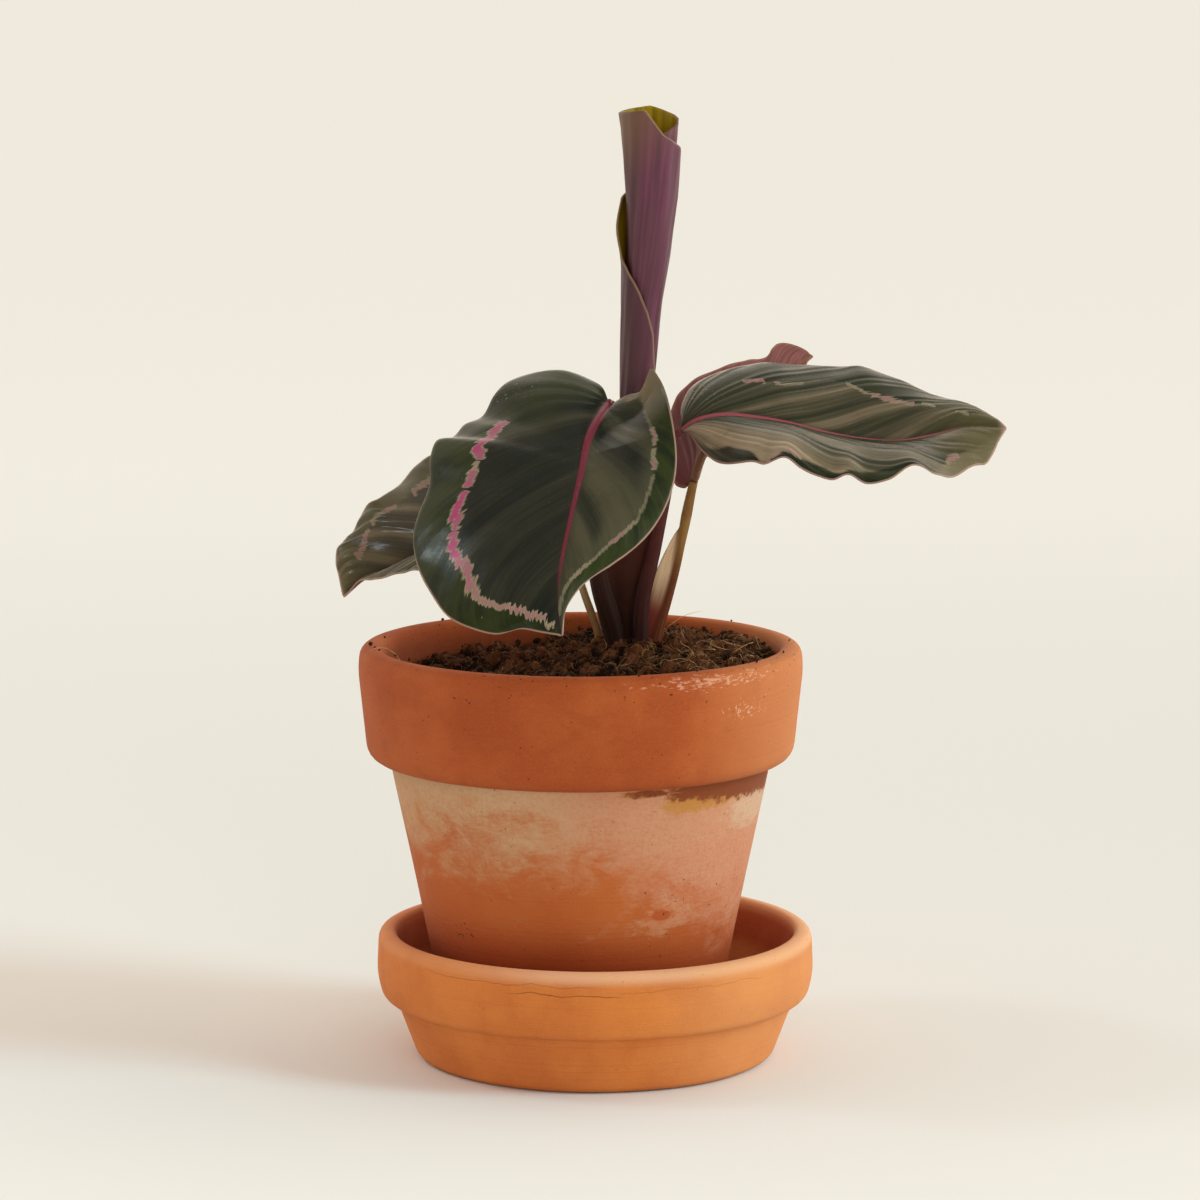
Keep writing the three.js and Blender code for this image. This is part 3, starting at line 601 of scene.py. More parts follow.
# The blades, on the same midribs and margins as the solid part. Pairs are for side A, then side B:
# "band" is the middle of the pink band as (along, across), "strokes" are tan or dark strokes between it
# and the midrib as (vein, reach, change, how far out they hold), and "patches" are the pieces of the band
# as (start, end, half width, pinkness)
LEAVES = {
    "front_leaf": {
        "mesh": (230, 84), "sweep": (0.4, 0.6), "vein_gap": 7.5, "fold": 0.04, "frill": 0.12,
        # Side A's higher ground tone draws that half lighter and tanner than side B: painted sheen
        "ground": (0.62, 0.05), "camber": ([-0.06, -0.2, -0.02, 0.07, 0.07, 0.07, 0.07], [0.06, 0.06]),
        "held_from": (0.1, 0.5, -0.9),
        "band": (
            [(0, 0.6), (0.19, 0.67), (0.27, 0.74), (0.34, 0.79), (0.41, 0.75), (0.45, 0.78), (0.57, 0.76),
             (0.61, 0.76), (0.65, 0.72), (0.71, 0.61), (0.76, 0.57), (0.81, 0.43), (0.84, 0.3),
             (0.89, 0.18), (0.95, 0.05), (1, 0)],
            [(0, 0.7), (0.31, 0.73), (0.44, 0.67), (0.5, 0.71), (0.62, 0.72), (0.67, 0.73), (0.72, 0.69),
             (0.76, 0.7), (0.79, 0.72), (0.82, 0.66), (0.85, 0.55), (0.89, 0.46), (0.96, 0.34), (1, 0.2)],
        ),
        "strokes": (
            [(0.14, 0.08, -0.6, 0.55), (0.49, 0.06, -0.5, 0.3), (-0.06, 0.05, -0.45, 1),
             (0.35, 0.09, 0.35, 1), (0.57, 0.07, 0.35, 1)],
            [(0.08, 0.03, 0.35, 1), (0.4, 0.03, 0.25, 1), (0.6, 0.22, 0.16, 1), (0.74, 0.03, 0.2, 1)],
        ),
        "patches": (
            [(0.19, 0.3, 0.3, 0.5), (0.3, 0.37, 0.6, 0.8), (0.38, 0.43, 0.6, 0.1), (0.43, 0.46, 0.7, 0.9),
             (0.47, 0.62, 0.35, 0.3), (0.62, 0.66, 0.5, 0.4), (0.66, 0.7, 0.7, 1.0),
             (0.7, 0.77, 0.4, 0.4), (0.77, 0.83, 0.7, 0.3), (0.83, 0.94, 0.4, 0.3)],
            [(0.305, 0.445, 1.7, 1.0), (0.45, 0.475, 0.8, 0.3), (0.475, 0.52, 1.7, 0.9),
             (0.53, 0.625, 1.5, 1.0), (0.63, 0.69, 1.6, 1.0), (0.69, 0.75, 1.7, 0.7),
             (0.75, 0.79, 1.3, 0.5), (0.79, 0.86, 1.3, 0.4), (0.86, 0.93, 1.3, 0.5),
             (0.93, 0.97, 0.7, 0.1)],
        ),
        "midrib": [(4.5, -9, 189), (2, -16, 186.5), (-1.5, -27, 181.5), (-4, -43, 172), (-7, -57, 160.5),
            (-9.5, -67, 149), (-10, -73, 140.5), (-9, -77, 133)],
        "marginA": [(9, -11, 191), (13, -13, 192.5), (15.5, -11, 198.5), (18, -14, 196), (20.5, -21, 190),
            (22.5, -37, 176), (21, -45, 168), (17.5, -51, 161), (12, -57, 155), (4.5, -62, 150),
            (-1.5, -65, 146.5), (-5, -68, 143.5), (-8, -72, 139)],
        "marginB": [(2, -5, 192.5), (-1.5, -1, 194.5), (-9, 3, 196.5), (-17, 4, 196), (-24.5, 2, 193.5),
            (-28.5, -2, 190), (-32, -7, 184.5), (-36.5, -9, 182.5), (-40, -14, 179.5), (-44, -15, 179),
            (-46, -21, 174.5), (-46, -29, 168), (-50, -42, 156), (-48.5, -51, 148), (-44.5, -59, 141.5),
            (-39.5, -65, 136), (-33, -69, 133.5), (-26.5, -72, 132.5), (-20.5, -72, 134),
            (-14.5, -75, 133.5)],
    },
    "right_leaf": {
        "mesh": (240, 76), "sweep": (0.72, 0.3), "vein_gap": 11.0, "fold": 0.07, "frill": 0.1,
        "ground": (0.1, 0.54), "camber": ([0.08, 0.08], [0.08, 0.08]),
        "band": (
            [(0, 0.6), (0.26, 0.62), (0.31, 0.58), (0.36, 0.51), (0.41, 0.57), (0.49, 0.7), (0.54, 0.63),
             (0.58, 0.53), (0.63, 0.5), (0.71, 0.52), (0.76, 0.58), (0.86, 0.44), (1, 0.2)],
            [(0, 0.95), (0.12, 0.86), (0.19, 0.74), (0.25, 0.84), (0.29, 1.0), (0.33, 0.9), (0.39, 0.88),
             (0.44, 0.87), (0.48, 0.97), (0.53, 0.88), (0.58, 0.85), (0.64, 0.9), (0.68, 0.98),
             (0.72, 0.9), (0.77, 0.72), (0.85, 0.7), (1, 0.5)],
        ),
        "strokes": (
            [(0.1, 0.04, 0.3, 1), (0.22, 0.03, 0.1, 1), (0.38, 0.05, 0.36, 1), (0.52, 0.03, 0.1, 1),
             (0.64, 0.05, 0.3, 1)],
            [(-0.45, 0.15, 0.3, 1), (-0.03, 0.04, -0.15, 1), (0.0, 0.2, -0.35, 1), (0.24, 0.04, -0.2, 1),
             (0.42, 0.2, -0.5, 1), (0.2, 0.5, -0.25, 0.15), (0.62, 0.12, -0.3, 0.3)],
        ),
        "patches": (
            [(0.265, 0.32, 1.2, 1.0), (0.34, 0.42, 0.6, 0.7), (0.42, 0.47, 0.3, 0.2),
             (0.53, 0.6, 0.7, 0.3), (0.6, 0.72, 1.0, 0.5), (0.74, 0.78, 0.6, 0.3),
             (0.84, 0.88, 0.5, 0.1)],
            [(0.3, 0.38, 0.8, 0.7), (0.755, 0.8, 1.0, 0.6)],
        ),
        "midrib": [(24.5, 3, 179.5), (28, 3, 182), (32.5, 3, 183.5), (38, 3, 184), (54, 1, 182),
            (64, 0, 179.5), (75.5, -1, 177.5), (85.5, -2, 177), (94.5, -2, 178.5), (105.5, -1, 181),
            (116.5, 0, 180.5)],
        "marginA": [(24.5, 5, 182), (24.5, 10, 185), (26, 16, 188.5), (29.5, 22, 191.5), (36.5, 27, 194),
            (47, 31, 196), (58, 32, 195.5), (69.5, 32, 195), (77, 31, 195), (88, 27, 191.5),
            (98.5, 20, 187.5), (105.5, 14, 186.5), (114.5, 3, 182.5)],
        "marginB": [(26.5, 0, 179), (28.5, -5, 176.5), (32, -12, 173.5), (36.5, -19, 172.5),
            (44, -26, 174), (47, -28, 173.5), (52.5, -29, 175.5), (57, -32, 173), (61, -34, 171),
            (65.5, -35, 170), (70, -35, 171.5), (75, -36, 169), (81, -35, 170), (88.5, -30, 173.5),
            (94.5, -29, 171), (99.5, -25, 169.5), (106, -18, 172), (109.5, -15, 172), (114.5, -4, 178)],
    },
    "left_leaf": {
        "mesh": (170, 64), "sweep": (0.5, 0.45), "vein_gap": 8.0, "fold": 0.2, "frill": 0.12,
        "ground": (0.45, 0.1), "camber": ([0.1, 0.1], [0.08, 0.08]),
        "band": (
            [(0, 0.7), (0.8, 0.68), (1, 0.2)],
            [(0, 0.75), (0.3, 0.75), (0.48, 0.7), (0.62, 0.73), (0.74, 0.68), (0.77, 0.6), (0.81, 0.51),
             (1, 0.2)],
        ),
        "strokes": (
            [(0.25, 0.05, 0.5, 1), (0.42, 0.04, -0.4, 1), (0.6, 0.05, 0.5, 1)],
            [(0.13, 0.02, -0.2, 1), (0.26, 0.03, 0.7, 1), (0.48, 0.04, 0.6, 1), (0.68, 0.05, 0.5, 1)],
        ),
        "patches": (
            [],
            [(0.44, 0.52, 1.2, 0.7), (0.6, 0.65, 1.1, 0.8), (0.65, 0.7, 0.7, 0.2),
             (0.72, 0.83, 1.1, 0.9)],
        ),
        "midrib": [(-18, 12, 161), (-25, 16, 157.5), (-33.5, 20, 152.5), (-42, 24, 146), (-51, 27, 141),
            (-59, 29, 136.5), (-67, 30, 133.5), (-73.5, 30, 128)],
        "marginA": [(-20.5, 8, 156.5), (-27, 5, 150), (-36, 6, 144.5), (-44.5, 9, 140), (-52, 13, 138),
            (-58.5, 17, 136), (-64, 22, 134), (-68.5, 26, 133), (-71.5, 29, 129.5)],
        "marginB": [(-21, 16, 164.5), (-27.5, 24, 168), (-36.5, 32, 170.5), (-45.5, 38, 169),
            (-50, 41, 167), (-55, 44, 162), (-58.5, 46, 158), (-63.5, 47, 154.5), (-67, 47, 153),
            (-71, 44, 145.5), (-75.5, 40, 141), (-76, 37, 137.5), (-75, 34, 133.5)],
    },
    "back_leaf": {
        "mesh": (170, 60), "sweep": (0.5, 0.45), "vein_gap": 7.0, "fold": 0.15, "frill": 0.12,
        "ground": (0.3, 0.3), "camber": ([0.08, 0.08], [0.08, 0.08]),
        "band": ([(0, 0.7), (0.8, 0.65), (1, 0.2)], [(0, 0.72), (0.7, 0.7), (1, 0.1)]),
        "strokes": (
            [(0.2, 0.04, 0.4, 1), (0.5, 0.04, 0.4, 1)],
            [(0.2, 0.04, 0.4, 1), (0.5, 0.04, 0.4, 1)],
        ),
        "patches": (
            [(0.3, 0.5, 1.2, 0.8), (0.53, 0.8, 1.0, 0.6)],
            [(0.3, 0.55, 1.2, 0.8), (0.58, 0.8, 1.0, 0.6)],
        ),
        "midrib": [(28, 6, 164), (29, 9, 167.5), (31.5, 13, 173), (36, 19, 179.5), (42.5, 27, 185.5),
            (50, 35, 191), (57.5, 42.5, 193.5), (63.4, 46, 196.7)],
        "marginA": [(29.3, 12, 167.5), (33.5, 19, 171.5), (40, 27, 175.5), (48.5, 33, 180),
            (56, 37, 185.5), (60.5, 41, 191), (62, 44.3, 195)],
        "marginB": [(25.5, 7, 162.6), (23, 7, 163.4), (21.5, 13, 170), (21, 20, 176.5), (22, 27, 183),
            (24, 31, 187), (28, 34, 190.5), (37.5, 38, 194.5), (44.5, 41, 196), (49.8, 43, 196.7),
            (51.9, 44, 199.5), (53.7, 45, 200.6), (57.5, 46, 200.2), (61.6, 46.5, 198.4)],
    },
}

# The stalks: colours at the foot and the top, then those of a dry sheath if there is one
STALKS = {
    "front_leaf_stalk": {
        "colours": ((28, 15, 10), (76, 44, 36)), "blade": "front_leaf",
        "radii": (2.7, 3, 2.8, 2, 1.6, 1.2),
        "path": [(6.6, -0.2, STALK_FOOT), (5.6, -0.2, 121), (1.6, -1, 136), (-0.5, -2, 153),
            (2, -3.5, 170), (4.2, -5.4, 180)],
    },
    "rolled_leaf_stalk": {
        "colours": ((28, 14, 10), (80, 44, 32)), "radii": (3.4, 3.2, 3, 2.8, 2.8, 3.6),
        "widths": (4.8, 5.2, 6.2, 7.6, 7.2, 4.2),
        "path": [(10.3, 5.6, STALK_FOOT), (10.4, 5.9, 125), (10.6, 5.6, 145), (10.8, 5, 163.6)],
    },
    "right_leaf_stalk": {
        "colours": ((38, 18, 15), (96, 48, 46)), "blade": "right_leaf",
        "radii": (2.2, 2.2, 2.1, 1.7, 1.5, 1.2),
        "path": [(12.6, -1.2, STALK_FOOT), (12.9, -1, 122), (13.8, -0.6, 133), (16.9, 0, 146),
            (19.8, 1, 160), (22, 2.4, 172)],
    },
    "back_leaf_stalk": {
        "colours": ((98, 46, 33), (150, 115, 64), ((128, 60, 50), (240, 212, 172))), "blade": "back_leaf",
        "radii": (2, 1.9, 1.3, 1.2, 1.2, 1.5, 1.2), "wing": (0.14, 0.76, 4.2, 0.8),
        "path": [(17, 3.6, STALK_FOOT), (17.6, 3.4, 120), (20.4, 2.6, 130), (23, 2.8, 140), (25, 3, 150)],
    },
    "left_leaf_stalk": {
        "colours": ((124, 82, 46), (202, 182, 134)), "blade": "left_leaf", "radii": (1.2, 1.1, 1, 1.1),
        "path": [(2, 5.4, STALK_FOOT), (1, 5.6, 120), (-3, 6, 132), (-7.5, 7, 146), (-11.5, 8.6, 157)],
    },
}

ROLL = {
    "depth": 5,
    # Height, middle in X and outer radius of the roll
    "sections": [[164.2, 11, 4.2], [189.5, 11.9, 5.4], [202.5, 12.7, 5.8], [216.5, 13.5, 6.3],
        [231, 14.8, 7.1], [245, 15.6, 7.9], [265, 15.7, 8.5], [272, 15.6, 9.3]],
    # Height of the outer margin at each angle of the winding, in degrees; the camera side is -90
    "margin": [[400, 166], [350, 186], [320, 198], [305, 207], [284, 213.5], [258, 219.5], [205, 228.5],
        [180, 244], [90, 251], [0, 258.5], [-66, 263.4], [-100, 270.3]],
    # The rim of the inner turn, from its start to where the outer margin takes over
    "rim": [[-500, 268], [-450, 262.5], [-426, 263.4], [-360, 267], [-270, 271], [-180, 269.3],
        [-100, 270.3]],
    "start": -500, "end": 400,
    "flap": {"reach": 1.8, "height": 236, "spread": 8, "angle": 30},
}

# Colours that the blades share unless LOOKS says otherwise, as seen on screen
PALETTE = {
    "pink": (162, 58, 104), "pink_soft": (146, 84, 102), "pale": (154, 136, 112),
    "fringe": (122, 122, 96), "rib": (106, 36, 50), "glow": (46, 34, 30), "line": (176, 140, 126),
    "rib_width": (1.15, 0.35), "tip": (0.0, (96, 96, 56)), "shoulder": (0.0, 0.0), "fray": (0.8, 0.8),
    "end": (0.0, 0.0), "shine": 0.17,
}

# Colours of each blade; pairs of numbers are for its side A and its side B
LOOKS = {
    "front_leaf": {
        "dark": (22, 27, 22), "tan": (72, 68, 50), "tint": (28, 34, 29), "outer": (41, 48, 19),
        "outer_dark": (22, 31, 13), "outer_fine": (50, 54, 24), "lobe": (104, 93, 72),
        # At the foot of side A the tan ends (root) are painted light on the upturned lobe
        "shoulder": (0.0, 0.8), "fray": (0.3, 1.0), "root": (1.0, 0.0), "strength": (0.6, 1.0),
        "line_from": (0.2, 0.62), "scuff": dict(x=(-21, 10), y=(2, 12), z=(190, 5)),
    },
    "right_leaf": {
        "dark": (34, 40, 26), "tan": (152, 132, 106), "tint": (52, 58, 36), "lobe": (130, 116, 92),
        "shoulder": (0.8, 0.0), "outer": (40, 46, 24), "outer_dark": (21, 29, 17),
        "outer_fine": (56, 58, 34), "shine": 0.12, "end": (0.0, 0.8), "root": (0.1, 0.15),
        "strength": (0.75, 0.75), "line_from": (0.0, 0.0),
        "scuff": dict(x=(29, 10), y=(20, 12), z=(188, 5)), "rib": (152, 78, 86), "rib_width": (0.9, 0.42),
        "tip": (0.8, (78, 72, 40)),
    },
    "left_leaf": {
        "dark": (46, 42, 32), "tan": (108, 96, 72), "tint": (60, 54, 40), "lobe": (108, 96, 72),
        "outer": (76, 70, 42), "outer_dark": (54, 54, 36), "outer_fine": (92, 84, 58), "root": (0.4, 0.4),
        "strength": (0.5, 0.6), "line_from": (0.0, 0.3), "rib": (104, 84, 62), "rib_width": (0.6, 0.3),
        "tip": (0.5, (100, 90, 62)), "pink": (140, 66, 86), "pink_soft": (136, 84, 84),
    },
    "back_leaf": {
        "dark": (38, 44, 34), "tan": (84, 80, 58), "tint": (52, 60, 46), "lobe": (84, 80, 58),
        "outer": (66, 66, 34), "outer_dark": (40, 50, 34), "outer_fine": (70, 74, 46), "fray": (1.5, 1.5),
        "root": (0.5, 0.5), "strength": (0.9, 0.9), "line_from": (0.0, 0.0),
    },
}

# Crumbs of soil on the pot's rim: x, y and size
RIM_CRUMBS = [
    (-64, -4, 0.7), (-62.5, -9, 0.5), (-61, -14, 0.45), (-60.5, 9, 0.6), (-56, -24, 0.4),
    (-33, -51.5, 0.5), (-16, -58.3, 0.4), (12, -58, 0.4), (28, -50.5, 0.5), (45, -35, 0.5),
    (53, -18, 0.5), (55.5, 4, 0.5), (40, 41, 0.5), (-10, 59, 0.5), (-45, 43, 0.6),
]

# Long strands that stand up from the soil or reach over the rim
LOOSE_STRANDS = [
    [(25.6, 5, 119.6), (24.4, 1, 119.4), (24.9, -5, 119.2), (27, -9, 118.8), (28, -14, 118)],
    [(33, -2, 119.5), (32.5, -6, 119.8), (34, -10, 119.6), (36.5, -12, 119), (38, -10, 118.6)],
    [(38, 2, 119.6), (36.5, -2, 120), (37.5, -6, 120), (40.5, -8, 119.4), (42, -5, 118.8)],
    [(44, -3, 119), (45, -7, 120.2), (43.5, -10, 120.4), (41, -12, 119.4), (38, -15, 118)],
    [(-53, -18, 113.5), (-56, -19, 118.6), (-59, -17, 120.2), (-62, -14, 119.6), (-65, -12, 118)],
    [(16, -24, 116), (20, -27, 118), (24, -26, 118.6), (27, -29, 118.4), (29, -33, 116.8)],
    [(20, 30, 118), (23, 33, 120), (26, 36, 121.4), (29, 38, 122), (32, 40, 122.2)],
]


# Curves and meshes

class SmoothCurve:
    """A centripetal Catmull-Rom curve through points, walked by shares of its length"""

    def __init__(self, points):
        self.points = np.array(points, float)
        self.steps = np.linspace(0, 1, 401)
        gaps = np.linalg.norm(np.diff(self.at(self.steps), axis=0), axis=1)
        self.travelled = np.concatenate([[0], np.cumsum(gaps)])
        self.length = self.travelled[-1]

    def at(self, steps):
        points, last = self.points, len(self.points) - 1
        place = np.clip(steps, 0, 1) * last
        low = np.minimum(np.floor(place).astype(int), last - 1)
        share = (place - low)[:, None]
        before = np.vstack([2 * points[0] - points[1], points])
        after = np.vstack([points, 2 * points[-1] - points[-2]])
        p0, p1, p2, p3 = before[low], points[low], points[low + 1], after[low + 2]
        d0, d1, d2 = (((b - a) ** 2).sum(1)[:, None] ** 0.25 for a, b in ((p0, p1), (p1, p2), (p2, p3)))
        start = ((p1 - p0) / d0 - (p2 - p0) / (d0 + d1) + (p2 - p1) / d1) * d1
        end = ((p2 - p1) / d1 - (p3 - p1) / (d1 + d2) + (p3 - p2) / d2) * d1
        curve = p1 + start * share + (-3 * p1 + 3 * p2 - 2 * start - end) * share ** 2
        return curve + (2 * p1 - 2 * p2 + start + end) * share ** 3

    def along(self, shares):
        return self.at(np.interp(shares * self.length, self.travelled, self.steps))

    def heading(self, shares):
        small = 1e-3
        return unit(self.along(np.clip(shares + small, 0, 1)) - self.along(np.clip(shares - small, 0, 1)))


def quads(rows, columns, loop_rows=False, loop_columns=False):
    """Faces between neighbouring points of a grid, whose rows or columns may close into a loop"""
    i, j = np.meshgrid(np.arange(rows - 1 + loop_rows), np.arange(columns - 1 + loop_columns), indexing="ij")
    here, there, after = i * columns, (i + 1) % rows * columns, (j + 1) % columns
    return np.stack([here + j, here + after, there + after, there + j], -1).reshape(-1, 4).tolist()


def tube_faces(rows, sides):
    """The wall of a tube and a cap at each of its ends"""
    last = (rows - 1) * sides
    return quads(rows, sides, loop_columns=True) + [list(range(sides))[::-1], list(range(last, last + sides))]


def sheet_normals(rows):
    return unit(np.cross(np.gradient(rows, axis=1), np.gradient(rows, axis=0)))


def make_sheet(name, rows, thickness, ridge, numbers, materials, node):
    """A thin closed sheet, with a material each for its upper side, its underside and its rim"""
    count, columns = rows.shape[:2]
    normals = sheet_normals(rows)
    upper = rows + normals * (thickness / 2)[..., None]
    lower = rows - normals * (thickness / 2 + ridge)[..., None]
    under = count * columns
    top = quads(count, columns)
    bottom = [[corner + under for corner in face[::-1]] for face in top]
    grid = np.arange(under).reshape(count, columns)
    rim = np.concatenate([grid[0], grid[1:, -1], grid[-1, -2::-1], grid[-2:0:-1, 0]]).tolist()
    edge = [(b, a, a + under, b + under) for a, b in zip(rim, rim[1:] + rim[:1])]
    indices = [0] * len(top) + [1] * len(bottom) + [2] * len(edge)
    corners = np.concatenate([upper.reshape(-1, 3), lower.reshape(-1, 3)])
    values = {key: np.tile(np.ravel(field), 2) for key, field in numbers.items()}
    make_piece(name, corners, [*top, *bottom, *edge], materials, node, values, indices)


def evenly(values, shares):
    """Reads a list of evenly spaced values at shares of its length"""
    return np.interp(shares, np.linspace(0, 1, len(values)), values)


def look_up(table, place, column=1):
    """Reads a column of a table at a place along its first column"""
    return np.interp(place, [entry[0] for entry in table], [entry[column] for entry in table])


# Blades

def blade_margins(leaf, rib):
    """Both margins, which start and end square to the midrib as in the solid part"""
    tan_and_painted_light_ends = []
    for index, share, half_width in ((0, 0.0, BASE_HALF_WIDTH), (-1, 1.0, TIP_HALF_WIDTH)):
        chord = np.subtract(leaf["marginB"][index], leaf["marginA"][index])
        along = rib.heading(np.array([share]))[0]
        tan_and_painted_light_ends.append(unit(chord - along * chord.dot(along)) * half_width)
    base, tip = rib.points[0], rib.points[-1]
    return [SmoothCurve([base + sign * tan_and_painted_light_ends[0], *leaf[key], tip + sign * tan_and_painted_light_ends[1]])
            for key, sign in (("marginA", -1), ("marginB", 1))]


def distances(points, line):
    """How far each point is from a line that is given by many points"""
    flat = points.reshape(-1, 3)
    least = np.full(len(flat), np.inf)
    for spot in line:
        least = np.minimum(least, ((flat - spot) ** 2).sum(1))
    return np.sqrt(least).reshape(points.shape[:-1])


def smoothed(rows, spread):
    """Rows averaged with their neighbours; the spread is a share of their number"""
    count = len(rows)
    reach = int(3 * spread * count)
    weights = np.exp(-(np.arange(-reach, reach + 1) / (spread * count)) ** 2)
    start, end = 2 * rows[0] - rows[reach:0:-1], 2 * rows[-1] - rows[-2:-reach - 2:-1]
    padded = np.concatenate([start, rows, end])
    return np.stack([np.convolve(part, weights / weights.sum(), "valid") for part in padded.T], 1)


def vein_share(shares, steps, sweep):
    """Where the vein through each point leaves the midrib; veins sweep towards the tip"""
    start, gain = sweep
    shape = len(shares), len(steps)
    low, high = np.full(shape, -1.5), np.ones(shape)
    for _ in range(30):
        vein = (low + high) / 2
        beyond = vein + (start + gain * vein) * steps ** VEIN_BEND * (1 - vein) > shares[:, None]
        low, high = np.where(beyond, low, vein), np.where(beyond, vein, high)
    return (low + high) / 2


def blade_side(leaf, rib, margin, index, sign):
    """The half of a blade between its midrib and a margin, with the numbers for its pattern"""
    rows, columns = leaf["mesh"]
    shares = np.linspace(0, 1, rows + 1)
    steps = 1 - (1 - np.linspace(0, 1, columns + 1)) ** COLUMN_CROWDING
    middle = rib.along(shares)
    chord = margin.along(shares) - middle
    calm = smoothed(chord, MARGIN_CALM)
    up = unit(np.cross(chord, rib.heading(shares)) * sign)
    width = np.linalg.norm(chord, axis=1)[:, None]
    wide = smooth(width, *FOLD_WIDTHS)
    vein = vein_share(shares, steps, leaf["sweep"])
    vein_mm = vein * rib.length
    bulge = evenly(leaf["camber"][index], shares)[:, None] * width * 4 * steps * (1 - steps)
    fold = np.sin(vein_mm * 2 * math.pi / leaf["vein_gap"] + 1.7 * np.sin(vein_mm * 0.21 + sign))
    fold = leaf["fold"] * fold * smooth(steps, 0.02, 0.3) * wide
    frill = np.sin(shares[:, None] * rib.length * FRILL_RATE + sign) * smooth(steps, 0.7, 1)
    rise = bulge + fold + leaf["frill"] * frill * wide
    reach = calm[:, None] + (chord - calm)[:, None] * smooth(steps, 0.35, 1.0)[:, None]
    points = middle[:, None] + reach * steps[:, None] + up[:, None] * rise[..., None]

    tone = np.full(vein.shape, leaf["ground"][index])
    for place, spread, change, held in leaf["strokes"][index]:
        tone += change * np.exp(-((vein - place) / spread) ** 2) * smooth(steps, held + 0.2, held)
    half, pink = np.zeros((2, rows + 1, 1))
    for start, end, half_width, pinkness in leaf["patches"][index]:
        here = (shares >= start) & (shares <= end)
        half[here], pink[here] = half_width, pinkness
    band = np.interp(shares, *zip(*leaf["band"][index]))[:, None]
    numbers = {
        "side": sign, "share": steps, "along": shares[:, None], "vein_mm": vein_mm, "tone": tone,
        "band_mm": (steps - band) * width, "half_mm": half, "pink": pink,
    }
    return points, {key: np.broadcast_to(field, vein.shape) for key, field in numbers.items()}


def make_leaf(name, leaf, materials):
    """A thin blade between its midrib and margins, with a raised rib below and a groove over it"""
    rib = SmoothCurve(leaf["midrib"])
    margins = blade_margins(leaf, rib)
    points_a, numbers_a = blade_side(leaf, rib, margins[0], 0, -1.0)
    points_b, numbers_b = blade_side(leaf, rib, margins[1], 1, 1.0)

    def joined(a, b):
        """Side A from its margin inward, then side B, with the midrib only once"""
        return np.concatenate([a[:, :0:-1], b], axis=1)

    points = joined(points_a, points_b)
    numbers = {key: joined(field, numbers_b[key]) for key, field in numbers_a.items()}
    outline = np.concatenate([margin.along(np.linspace(0, 1, 500)) for margin in margins])
    numbers["edge_mm"] = distances(points, outline)
    numbers["rib_mm"] = distances(points, rib.along(np.linspace(0, 1, 400)))
    near_rib = (1 - 0.75 * numbers["along"]) * np.exp(-(numbers["rib_mm"] / RIB_WIDTH) ** 2)
    points = points - sheet_normals(points) * (RIB_GROOVE * near_rib)[..., None]
    thickness = BLADE_THICKNESS * (0.55 + 0.45 * smooth(numbers["edge_mm"], 0, 1.2))
    ridge = RIB_HEIGHT * near_rib
    make_sheet(name + "_blade", points, thickness, ridge, numbers, materials, name)


def make_roll(materials):
    """A sheet wound round an upright axis, whose outer margin climbs round it"""
    sections, margin, flap = ROLL["sections"], ROLL["margin"], ROLL["flap"]
    bottom = sections[0][0]
    angles = np.arange(ROLL["start"], ROLL["end"] + 0.1, ROLL_STEP)
    rim = np.where(angles < margin[-1][0], look_up(ROLL["rim"], angles), look_up(margin[::-1], angles))
    height = bottom + (rim - bottom) * np.linspace(0, 1, ROLL_ROWS)[:, None]
    turn = np.broadcast_to(np.radians(angles), height.shape)
    behind = np.maximum(0, look_up([(up, angle) for angle, up in margin], height) - angles)
    above = (height - flap["height"]) / flap["spread"]
    lifted = flap["reach"] * np.exp(-above ** 2 - (behind / flap["angle"]) ** 2)
    ripple = 0.12 * np.sin(turn * 7 + height * 0.11) + 0.08 * np.sin(turn * 13 - height * 0.17)
    radius = look_up(sections, height, 2) - ROLL_PITCH * behind / 360 + lifted
    radius = radius + ripple * smooth(height, bottom, bottom + 20)
    across = look_up(sections, height) + radius * np.cos(turn)
    points = np.stack([across, ROLL["depth"] + radius * np.sin(turn), height], -1)
    thickness = np.full(height.shape, ROLL_THICKNESS)
    numbers = {"turn": turn, "height_mm": height, "behind_mm": np.radians(behind) * radius}
    make_sheet("rolled_leaf_skin", points, thickness, 0, numbers, materials, "rolled_leaf")


